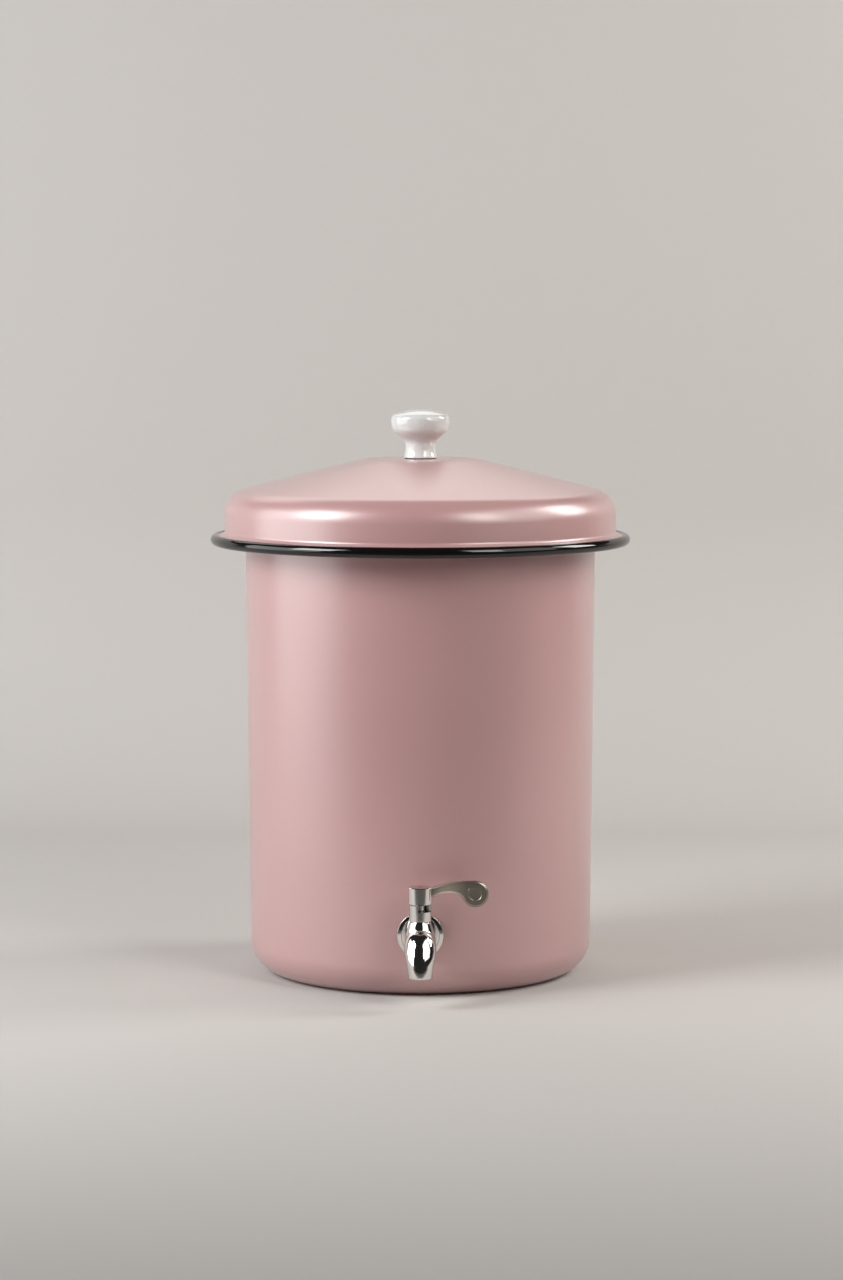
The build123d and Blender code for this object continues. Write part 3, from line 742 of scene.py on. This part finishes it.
def chrome_plate(title, tones):
    """Polished plating over a hand-finished casting."""
    made = Finish(title, tones.chrome, 0.06, metallic=1.0)
    made.vary_roughness(made.noise(0.006, 4), low=0.04, high=0.12)
    made.relief(made.noise(0.009, 1), depth=0.00003)
    return made.material


def satin_nickel(title, tones):
    """Satin plating, brushed along the lever and browned towards its two ends."""
    tone = tones.satin
    made = Finish(title, tone, 0.34, metallic=1.0)
    brushing = made.noise(0.0006, 3, 0.6, made.mapped((0.06, 1, 1)))
    made.tint(made.ranged(brushing, 0.35, 0.75, 0, 0.5), darker(tone, 0.75))
    disc_end, hub_end = (0.024, 0.038, 1.0), (0.018, 0.010, 0.8)     # start, end, share
    # Painted shade: the colour darkens towards the disc end and towards the hub end.
    for start, end, share in (disc_end, hub_end):
        painted_end_shade = made.ranged(made.along("X"), start, end, 0, share)
        made.tint(painted_end_shade, darker(tone, 0.42))
    made.vary_roughness(brushing, low=0.28, high=0.42)
    made.relief(brushing, depth=0.00001)
    return made.material


def turned_metal(title, tones, metal, roughness, centre, axis):
    """Machined metal with turning rings about an axis."""
    tone = getattr(tones, metal)
    made = Finish(title, tone, roughness, metallic=1.0)
    made.clouds(0.004, 3, start=0.4, end=0.8, share=0.5, tone=darker(tone, 0.8))
    made.vary_roughness(made.noise(0.002, 3), roughness - 0.05, roughness + 0.10)
    made.relief(made.rings(0.00035, centre, axis), depth=0.000006)
    return made.material


def soft_seal(title, tones, stuff, roughness, subsurface):
    """Moulded rubber or silicone with a fine matt skin."""
    tone = getattr(tones, stuff)
    made = Finish(title, tone, roughness, Subsurface_Weight=subsurface, Subsurface_Scale=0.002)
    made.clouds(0.006, 3, start=0.4, end=0.8, share=0.5, tone=darker(tone, 0.85))
    made.relief(made.noise(0.0004, 3), depth=0.00003)
    return made.material


def white_polymer(title, tones):
    """Machined low-friction polymer."""
    tone = tones.polymer
    made = Finish(title, tone, 0.42)
    made.clouds(0.005, 3, start=0.4, end=0.8, share=0.4, tone=darker(tone, 0.92))
    made.relief(made.rings(0.0004, STEM_AXIS, "Z"), depth=0.000008)
    return made.material


VESSEL_AXIS = (0, 0, 0)
SHANK_AXIS = (0, 0, TAP_HEIGHT)
FINISH_MAKERS = {
    "pink_enamel": (pink_enamel,),
    "black_enamel": (black_enamel,),
    "white_porcelain": (white_porcelain,),
    "fired_clay": (fired_clay,),
    "chrome_plate": (chrome_plate,),
    "satin_nickel": (satin_nickel,),
    "white_polymer": (white_polymer,),
    # colour, roughness, centre and axis of the turning marks
    "stainless_stem": (turned_metal, "steel", 0.24, STEM_AXIS, "Z"),
    "stainless_lid": (turned_metal, "steel", 0.28, VESSEL_AXIS, "Z"),
    "stainless_shank": (turned_metal, "steel", 0.26, SHANK_AXIS, "Y"),
    "brass_plug": (turned_metal, "brass", 0.28, STEM_AXIS, "Z"),
    "brass_insert": (turned_metal, "brass", 0.28, VESSEL_AXIS, "Z"),
    # colour, roughness, subsurface
    "silicone": (soft_seal, "silicone", 0.45, 0.15),
    "dark_rubber": (soft_seal, "rubber", 0.6, 0.0),
}
FINISHES = {}


def finish(name):
    """The material of that name, built on first use."""
    if name not in FINISHES:
        maker, *recipe = FINISH_MAKERS[name]
        tones = bpy.context.scene.filter_finishes
        FINISHES[name] = maker(name.replace("_", " "), tones, *recipe)
    return FINISHES[name]


# ---------------------------------------- stage
DAYLIGHT = (0.98, 1.0, 1.0)
WARM = (1.0, 0.97, 0.93)
LAMPS = (
    # name, azimuth and elevation in degrees, distance, width and height, brightness, colour
    ("window", -80, 15, 2.2, (2.2, 1.6), 2.8, DAYLIGHT),
    ("left key", -61, 33, 2.15, (0.9, 1.0), 11.5, DAYLIGHT),
    ("right window", 56, 32, 2.2, (1.7, 1.8), 1.7, WARM),
    ("right key", 36, 31, 2.15, (0.65, 1.0), 5.4, WARM),
    ("side lamp", 101, 32, 2.2, (0.70, 1.0), 11.5, WARM),
    ("back lamp", 190, 45, 2.4, (2.4, 1.0), 1.5, WARM),
)
LAMP_AIM = Vector((0, 0, 0.22))
ROOM_COLOUR = (1, 0.975, 0.95, 1)
ROOM_STRENGTH = 0.02


def backdrop_material(tone):
    """Matt paper, darker towards the front and dark to glossy rays away from the filter."""
    made = Finish("backdrop", tone, 0.9)
    # Painted shade: the floor's colour falls off towards the front. Painted reflection: to glossy
    # rays the floor turns dark in front of the filter.
    painted_falloff, painted_dark_reflection = (
        made.ranged(made.along("Y"), *fade, interpolation_type="SMOOTHSTEP")
        for fade in ((-1.45, 0.0, 0.50, 1.0), (-0.62, -0.42, 0.10, 1.0))
    )
    glossy = made.add("LightPath").outputs["Is Glossy Ray"]
    share = made.add("Mix", {"Factor": glossy, "A": painted_falloff, "B": painted_dark_reflection}).outputs["Result"]
    shade = made.add("VectorMath", {0: tone, "Scale": share}, operation="SCALE")
    made.drive("Base Color", shade.outputs["Vector"])
    return made.material


def backdrop(distance, tone):
    """Floor that curves up into a low backdrop."""
    width, front, height, cove = 5.0, -6.0, 1.04, 0.35
    side = rounded([(front, 0), (distance, 0), (distance, height)], [cove])
    vertices = [(x, y, z) for y, z in side for x in (-width, width)]
    faces = [(i, i + 1, i + 3, i + 2) for i in range(0, len(vertices) - 2, 2)]
    mesh = bpy.data.meshes.new("backdrop")
    mesh.from_pydata(vertices, [], faces)
    mesh.materials.append(backdrop_material(tone))
    for face in mesh.polygons:
        face.use_smooth = True
    obj = new_object("backdrop", mesh)


def softbox(name, azimuth, elevation, distance, size, brightness, tone):
    """Area lamp aimed at the filter. Azimuth runs from the camera's side, positive to the right."""
    turn, rise = radians(azimuth), radians(elevation)
    away = Vector((sin(turn) * cos(rise), -cos(turn) * cos(rise), sin(rise)))
    lamp = bpy.data.lights.new(name, "AREA")
    lamp.shape = "RECTANGLE"
    lamp.size, lamp.size_y = size
    lamp.energy = brightness * pi * size[0] * size[1]
    lamp.color = tone
    obj = new_object(name, lamp)
    obj.location = LAMP_AIM + away * distance
    obj.rotation_euler = away.to_track_quat("Z", "Y").to_euler()
    obj.visible_camera = False


def surroundings():
    """A nearly dark room."""
    world = bpy.data.worlds.new("studio")
    bpy.context.scene.world = world
    world.use_nodes = True
    shade = world.node_tree.nodes["Background"]
    shade.inputs["Color"].default_value = ROOM_COLOUR
    shade.inputs["Strength"].default_value = ROOM_STRENGTH


def camera(stage):
    """Camera at the stage's settings."""
    data = bpy.data.cameras.new("camera")
    data.lens = stage.lens
    data.sensor_width = 36
    data.sensor_fit = "AUTO"
    data.clip_end = 50
    obj = new_object("camera", data)
    obj.location = (stage.camera_side, -stage.camera_distance, stage.camera_height)
    obj.rotation_euler = (pi / 2 - stage.camera_pitch, 0, 0)
    bpy.context.scene.camera = obj


class FILTER_OT_stage(bpy.types.Operator):
    """Sets up the camera, the backdrop and the studio light"""

    bl_idname = "water_filter.stage"
    bl_label = "Stage"

    def execute(self, context):
        stage = context.scene.filter_stage
        context.scene.view_settings.view_transform = "Standard"
        camera(stage)
        backdrop(stage.backdrop, stage.backdrop_colour)
        surroundings()
        for lamp in LAMPS:
            softbox(*lamp)
        return {"FINISHED"}


# ---------------------------------------- vessel
def vessel_skin(sizes):
    """Outside skin of the vessel, from the middle of the floor to the end of the curled edge."""
    underside = sizes.height - sizes.sheet
    curl_centre = Vector((sizes.rim_radius - sizes.curl, sizes.height - sizes.curl))
    corners = [
        (0, 0),
        (wall_radius(0), 0),
        (wall_radius(underside), underside),
        (curl_centre.x, underside),
    ]
    curl = arc(curl_centre, sizes.curl - sizes.sheet, pi / 2, -sizes.curl_turn)
    return rounded(corners, [sizes.corner, sizes.flare])[:-1] + curl


class FILTER_OT_vessel(bpy.types.Operator):
    """Builds the enamelled vessel in one skin over its welds, with the hole for the tap"""

    bl_idname = "water_filter.vessel"
    bl_label = "Vessel"

    def execute(self, context):
        sizes = context.scene.filter_vessel
        outline = sheet_outline(vessel_skin(sizes), sizes.sheet)
        enamel = finish("pink_enamel")
        vessel = turned("enamelled_vessel", outline, enamel, closed=False)
        deep = 20 * MM
        cut(vessel, cylinder("drill", sizes.tap_hole, -deep, deep, SHANK_PLACE, enamel))
        tidy_mesh(vessel)
        fitted(vessel, "vessel", "pink_enamel", "vessel_bottom", "vessel_wall", "vessel_rim")
        return {"FINISHED"}


# ---------------------------------------- lid
def lid_skin(sizes):
    """Outside skin of the lid, from the end of the brim to the screw hole."""
    low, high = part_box("lid_shell")
    sheet = bpy.context.scene.filter_vessel.sheet
    brim_end = low.z + sheet * cos(sizes.brim_slope)
    wall_foot = brim_end + (high.x - sizes.wall_radius) * tan(sizes.brim_slope)
    shoulder = high.z - (sizes.wall_radius - sizes.flat_radius) * tan(sizes.cone_slope)
    corners = [
        (high.x, brim_end),
        (sizes.wall_radius, wall_foot),
        (sizes.wall_radius, shoulder),
        (sizes.flat_radius, high.z),
        (sizes.screw_hole, high.z),
    ]
    return rounded(corners, [sizes.brim_fillet, sizes.shoulder, sizes.flat_blend])


class FILTER_OT_lid(bpy.types.Operator):
    """Builds the pressed lid and the black band round its edge"""

    bl_idname = "water_filter.lid"
    bl_label = "Lid"

    def execute(self, context):
        sizes = context.scene.filter_lid
        outline = sheet_outline(lid_skin(sizes), context.scene.filter_vessel.sheet)
        lid = turned("enamelled_lid", outline, finish("pink_enamel"))
        fitted(lid, "lid", "pink_enamel", "lid_shell")
        low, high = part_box("lid_edge_band")
        section = (high.z - low.z) / 2
        outline = arc((high.x - section, low.z + section), section, 0, 2 * pi)[:-1]
        band = turned("edge_band", outline, finish("black_enamel"))
        fitted(band, "lid", "black_enamel", "lid_edge_band")
        return {"FINISHED"}


# ---------------------------------------- knob
def knob_outline(sizes):
    """Outline of the knob, from the pocket's roof round the outside to the top."""
    low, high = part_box("lid_knob")
    base = low.z
    pocket = base + sizes.pocket_depth
    neck = arc_through(
        (sizes.base_radius, base + sizes.base_band),
        (sizes.neck_radius, base + sizes.neck_height),
        (sizes.collar_radius, base + sizes.collar_height),
    )
    side = arc_through(
        (sizes.under_radius, base + sizes.under_height),
        (high.x, base + sizes.widest_height),
        (sizes.brow_radius, base + sizes.brow_height),
    )
    half = sizes.brow_radius
    drop = high.z - side[-1].y
    crown_radius = (half * half + drop * drop) / (2 * drop)
    start = atan2(side[-1].y - high.z + crown_radius, half)
    crown = arc((0, high.z - crown_radius), crown_radius, start, pi / 2 - start)
    crown[-1].x = 0
    collar = [neck[-1], neck[-1].lerp(side[0], 0.5), side[0]]
    head_outline = chained([neck, collar, side, crown], sizes.easing)
    edge = 0.4 * MM
    foot_outline = rounded(
        [
            (0, pocket),
            (sizes.pocket_radius, pocket),
            (sizes.pocket_radius, base),
            (sizes.base_radius, base),
            (sizes.base_radius, base + sizes.base_band),
        ],
        [edge, edge, edge],
    )
    return foot_outline + head_outline[1:]


class FILTER_OT_knob(bpy.types.Operator):
    """Builds the porcelain knob and dresses its washer, insert and screw"""

    bl_idname = "water_filter.knob"
    bl_label = "Knob"

    def execute(self, context):
        outline = knob_outline(context.scene.filter_knob)
        glaze = finish("white_porcelain")
        knob = turned("porcelain_knob", outline, glaze, closed=False, segments=160)
        fitted(knob, "lid", "white_porcelain", "lid_knob")
        dress("dark_rubber", "knob_washer", "lid_screw_seal")
        dress("brass_insert", "knob_insert")
        dress("stainless_lid", "lid_screw", "lid_screw_washer")
        return {"FINISHED"}


# ---------------------------------------- clay pot
class FILTER_OT_clay_pot(bpy.types.Operator):
    """Builds the clay filter pot and dresses the soft ring that it hangs on"""

    bl_idname = "water_filter.clay_pot"
    bl_label = "Clay pot"

    def execute(self, context):
        sizes = context.scene.filter_pot
        low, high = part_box("clay_filter_pot")
        underside = high.z - sizes.lip
        inner_floor = low.z + sizes.base
        corners = [
            (0, low.z),
            (sizes.base_radius, low.z),
            (sizes.mouth_radius, underside),
            (high.x, underside),
            (high.x, high.z),
            (sizes.mouth_radius - sizes.wall, high.z),
            (sizes.base_radius - sizes.wall, inner_floor),
            (0, inner_floor),
        ]
        radii = [sizes.corner, *[sizes.edge] * 4, sizes.inner_corner]
        outline = stepped(rounded(corners, radii), sizes.ridge_pitch / 5)
        clay = finish("fired_clay")
        pot = turned("clay_pot", outline, clay, closed=False, segments=160)
        run_tree(
            pot, "Sunk Helix", pitch=sizes.ridge_pitch, depth=sizes.ridge_depth,
            low=low.z + sizes.corner, high=underside - sizes.corner, material=clay,
        )
        tidy_mesh(pot)
        fitted(pot, "filter_pot", "fired_clay", "clay_filter_pot")
        dress("silicone", "pot_support_ring")
        return {"FINISHED"}


# ---------------------------------------- tap
STATION_STEPS = 6


def smooth_stations(stations):
    """Stations of centre and radius, with softly curved stretches between them."""
    points = [Vector((*centre, radius)) for centre, radius in stations]
    pairs = list(zip(points, points[1:]))
    spans = [(after.xyz - before.xyz).length for before, after in pairs]
    chords = [(after - before) / span for (before, after), span in zip(pairs, spans)]
    slopes = [chords[0]]
    for before, after, span_before, span_after in zip(chords, chords[1:], spans, spans[1:]):
        slopes.append((before * span_after + after * span_before) / (span_before + span_after))
    slopes.append(chords[-1])
    smooth = []
    for (start, end), span, slope, next_slope in zip(pairs, spans, slopes, slopes[1:]):
        for step in range(STATION_STEPS):
            t = step / STATION_STEPS
            leave, arrive = t * (1 - t) ** 2 * span, t * t * (t - 1) * span
            middle = start.lerp(end, t * t * (3 - 2 * t))
            smooth.append(middle + slope * leave + next_slope * arrive)
    smooth.append(points[-1])
    return [(point.xyz, point.w) for point in smooth]


def spout_station(sizes, radius, bend, straight, outset):
    """Station on the spout's path: a bend in degrees, then a straight stretch.

    Radius and outset, which is how far it lies outside of the path, are in millimetres.
    """
    turn = radians(bend)
    swing = sizes.spout_bend + outset * MM
    out = -STEM_AXIS.y + sizes.spout_lead + swing * sin(turn) + straight * cos(turn)
    height = TAP_HEIGHT - sizes.spout_bend + swing * cos(turn) - straight * sin(turn)
    return Vector((0, -out, height)), radius * MM


def spout_fall(sizes):
    """Straight stretch from the end of the bend down to the mouth."""
    return TAP_HEIGHT - sizes.spout_bend - sizes.spout_end


def spout_stations(sizes):
    """Outside of the spout: swelling over the bend, tapering to its lip and a little beyond."""
    fall = spout_fall(sizes)
    rows = (
        # radius, bend, straight stretch, outset
        (10.8, 0, -sizes.spout_lead, 0.0),
        (11.4, 0, 0.0, 0.0),
        (12.9, 28, 0.0, -0.7),
        (13.2, 52, 0.0, -1.6),
        (12.9, 72, 0.0, -1.1),
        (12.0, 90, 0.0, 0.9),
        (10.8, 90, fall - 6.5 * MM, 3.3),
        (9.2, 90, fall + 3.5 * MM, 5.6),
    )
    return smooth_stations(spout_station(sizes, *row) for row in rows)


def passage_stations(sizes):
    """Water way from the chamber to the mouth."""
    fall = spout_fall(sizes)
    rows = (
        # radius, bend, straight stretch, outset
        (3.2, 0, -sizes.spout_lead, 0.0),
        (4.4, 40, 0.0, 0.0),
        (6.6, 90, 0.0, 0.8),
        (7.6, 90, fall, 5.5),
        (7.6, 90, fall + 5 * MM, 5.5),
    )
    return smooth_stations(spout_station(sizes, *row) for row in rows)


def barrel_outline(sizes):
    """Outline of the swelling round the valve, from its bottom to the groove under the bonnet."""
    top, bottom = TAP_HEIGHT + sizes.barrel_top, TAP_HEIGHT - sizes.barrel_depth
    widest = TAP_HEIGHT - sizes.barrel_drop
    narrowing = sizes.barrel_radius - sizes.barrel_top_radius
    steps = 16
    lower, upper = [], []
    for i in range(steps):
        a = pi / 2 * i / steps
        lower.append((sizes.barrel_radius * sin(a), widest - (widest - bottom) * cos(a)))
    for i in range(steps + 1):
        t = i / steps
        shrink = narrowing * t * t * (1.6 - 0.6 * t)       # steep from the middle up to the groove
        upper.append((sizes.barrel_radius - shrink, widest + (top - widest) * t))
    return [*lower, *upper, (0, top)]


def casting(sizes, material):
    """Outside of the cast tap, from the cover plate to the mouth, melted into one."""
    edge = 0.2 * MM
    arm = rounded(
        [
            (0, 0),
            (sizes.collar_radius, 0),
            (sizes.collar_radius, sizes.face),
            (sizes.arm_radius, sizes.face + sizes.collar_length),
            (sizes.arm_radius, STEM_OUT),
            (0, STEM_OUT),
        ],
        [edge, 1.5 * MM, 14 * MM, edge],
    )
    neck_end = TAP_HEIGHT + sizes.barrel_top + 1 * MM
    spout = swept("spout", spout_stations(sizes), material)
    mouth = Matrix.Translation((0, STEM_AXIS.y - sizes.spout_lead - sizes.spout_bend, 0))
    below, lip = sizes.spout_end - 12 * MM, sizes.spout_end
    cut(spout, cylinder("below the lip", 24 * MM, below, lip, mouth, material))
    barrel = barrel_outline(sizes)
    parts = [
        turned("arm", arm, material, closed=False, segments=128, place=SHANK_PLACE),
        turned("barrel", barrel, material, closed=False, segments=128, place=STEM_PLACE),
        cylinder("neck", sizes.neck_radius, TAP_HEIGHT, neck_end, STEM_PLACE, material),
        spout,
    ]
    return fused("tap_casting", parts, sizes.softness, material)


def cover_plate(sizes):
    """Outline of the cover plate, dished inside a ring that slopes to its edge."""
    low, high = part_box("tap_escutcheon")
    radius = (high.x - low.x) / 2
    front, back = -low.y - WALL_FACE, -high.y - WALL_FACE
    dish_rear = sizes.face - sizes.plate
    ring_inside = radius - sizes.plate_ring
    slope_foot = front - sizes.plate_slope
    corners = [
        (sizes.shank_radius, sizes.face),
        (sizes.shank_radius, dish_rear),
        (ring_inside, dish_rear),
        (ring_inside, back),
        (radius, back),
        (radius, slope_foot - 0.1 * MM),
        (radius - sizes.plate_slope, slope_foot),
        (ring_inside + 0.5 * MM, front),
        (ring_inside, sizes.face),
    ]
    return rounded(corners, [radius * MM for radius in (0.1, 0.3, 0.3, 0.6, 0.3, 0.25, 0.2)])


def threaded_shank(sizes, material):
    """Shank with its screw thread, from the collar back into the vessel."""
    end, top = -sizes.shank_inside, sizes.face + 1 * MM
    steps = round((sizes.face - end) / (sizes.thread_pitch / 10))
    side = [(sizes.shank_radius, end + (top - end) * i / steps) for i in range(steps + 1)]
    outline = [(0, end), *side, (0, side[-1][1])]
    shank = turned("shank", outline, material, closed=False, segments=CYLINDER_SEGMENTS)
    run_tree(
        shank, "Sunk Helix", pitch=sizes.thread_pitch, depth=sizes.thread_depth,
        low=end - sizes.thread_pitch, high=0.0, material=material,
    )
    shank.data.transform(SHANK_PLACE)
    return tidy_mesh(shank)


class FILTER_OT_tap(bpy.types.Operator):
    """Builds the tap's casting and its cover plate, and dresses its bonnet, seals and nut"""

    bl_idname = "water_filter.tap"
    bl_label = "Tap"

    def execute(self, context):
        sizes = context.scene.filter_tap
        plating = finish("chrome_plate")
        over = 1 * MM
        neck_foot = TAP_HEIGHT + sizes.barrel_top - 4 * MM
        neck_end = TAP_HEIGHT + sizes.neck_top
        floor = TAP_HEIGHT - sizes.chamber_depth
        inlet = -sizes.shank_inside - over
        neck = cylinder("neck", sizes.neck_radius, neck_foot, neck_end, STEM_PLACE, plating)
        tap = casting(sizes, plating)
        cut(tap, threaded_shank(sizes, plating), "UNION")
        cut(tap, neck, "UNION")
        for tool in (
            swept("passage", passage_stations(sizes), plating, segments=48),
            cylinder("inlet", sizes.inlet_radius, inlet, STEM_OUT, SHANK_PLACE, plating),
            cylinder("chamber", sizes.chamber_radius, floor, neck_end + over, STEM_PLACE, plating),
        ):
            cut(tap, tool)
        tap.name = tap.data.name = "tap_casting"
        fitted(tidy_mesh(tap), "vessel", "chrome_plate", "tap_body")
        outline = cover_plate(sizes)
        plate = turned("cover_plate", outline, plating, segments=192, place=SHANK_PLACE)
        fitted(plate, "vessel", "chrome_plate", "tap_escutcheon")
        dress("chrome_plate", "tap_bonnet")
        dress("silicone", "tap_outer_seal", "tap_inner_seal", "bonnet_seal")
        dress("stainless_shank", "tap_back_washer", "tap_back_nut")
        dress("white_polymer", "valve_sleeve", "thrust_washer")
        return {"FINISHED"}


class FILTER_OT_handle(bpy.types.Operator):
    """Builds the lever's medallion and dresses the handle, its stem and its plug"""

    bl_idname = "water_filter.handle"
    bl_label = "Handle"

    def execute(self, context):
        dress("chrome_plate", "handle_hub")
        sizes = context.scene.filter_medallion
        low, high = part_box("lever_medallion")
        radius, thickness = (high.x - low.x) / 2, high.y - low.y
        corners = [
            (0, 0),
            (radius, 0),
            (radius, thickness),
            (radius - sizes.rim, thickness),
            (radius - sizes.rim - sizes.sink, thickness - sizes.sink),
            (0, thickness - sizes.sink),
        ]
        place = Matrix.Translation(((low.x + high.x) / 2, high.y, (low.z + high.z) / 2))
        medallion = turned(
            "lever_rosette", rounded(corners, [sizes.easing] * 4), finish("satin_nickel"),
            closed=False, segments=96, place=place @ TOWARDS_TAP, crease=60,
        )
        fitted(medallion, "tap_handle", "satin_nickel", "lever_medallion")
        dress("satin_nickel", "lever_arm")
        dress("stainless_stem", "handle_screw", "stop_pin", "valve_stem")
        dress("dark_rubber", "stem_o_rings")
        dress("brass_plug", "valve_plug")
        return {"FINISHED"}


# ---------------------------------------- add-on
OPERATORS = (
    FILTER_OT_stage,
    FILTER_OT_vessel,
    FILTER_OT_lid,
    FILTER_OT_knob,
    FILTER_OT_clay_pot,
    FILTER_OT_tap,
    FILTER_OT_handle,
)

SETTINGS = {
    "filter_vessel": VesselSizes,
    "filter_lid": LidSizes,
    "filter_knob": KnobSizes,
    "filter_pot": PotSizes,
    "filter_tap": TapSizes,
    "filter_medallion": MedallionSizes,
    "filter_finishes": Finishes,
    "filter_stage": StageSettings,
}


class FILTER_PT_panel(bpy.types.Panel):
    """Lists the filter's pieces"""

    bl_idname = "FILTER_PT_panel"
    bl_label = "Gravity Water Filter"
    bl_space_type = "VIEW_3D"
    bl_region_type = "UI"
    bl_category = "Water Filter"

    def draw(self, context):
        for operator in OPERATORS:
            self.layout.operator(operator.bl_idname)
        for setting, group in SETTINGS.items():
            column = self.layout.column(heading=group.__doc__)
            for prop in group.__annotations__:
                column.prop(getattr(context.scene, setting), prop)


CLASSES = (*SETTINGS.values(), *OPERATORS, FILTER_PT_panel)


def register():
    """Registers the classes and hangs the settings on the scene."""
    for cls in CLASSES:
        bpy.utils.register_class(cls)
    for setting, group in SETTINGS.items():
        setattr(bpy.types.Scene, setting, PointerProperty(type=group))


def unregister():
    """Takes the settings off the scene and the classes out."""
    for setting in SETTINGS:
        delattr(bpy.types.Scene, setting)
    for cls in reversed(CLASSES):
        bpy.utils.unregister_class(cls)


def main():
    """Builds the whole filter and writes its boxes."""
    register()
    for operator in OPERATORS:
        group, name = operator.bl_idname.split(".")
        getattr(getattr(bpy.ops, group), name)()
    bpy.context.view_layer.update()


if __name__ == "__main__":
    main()
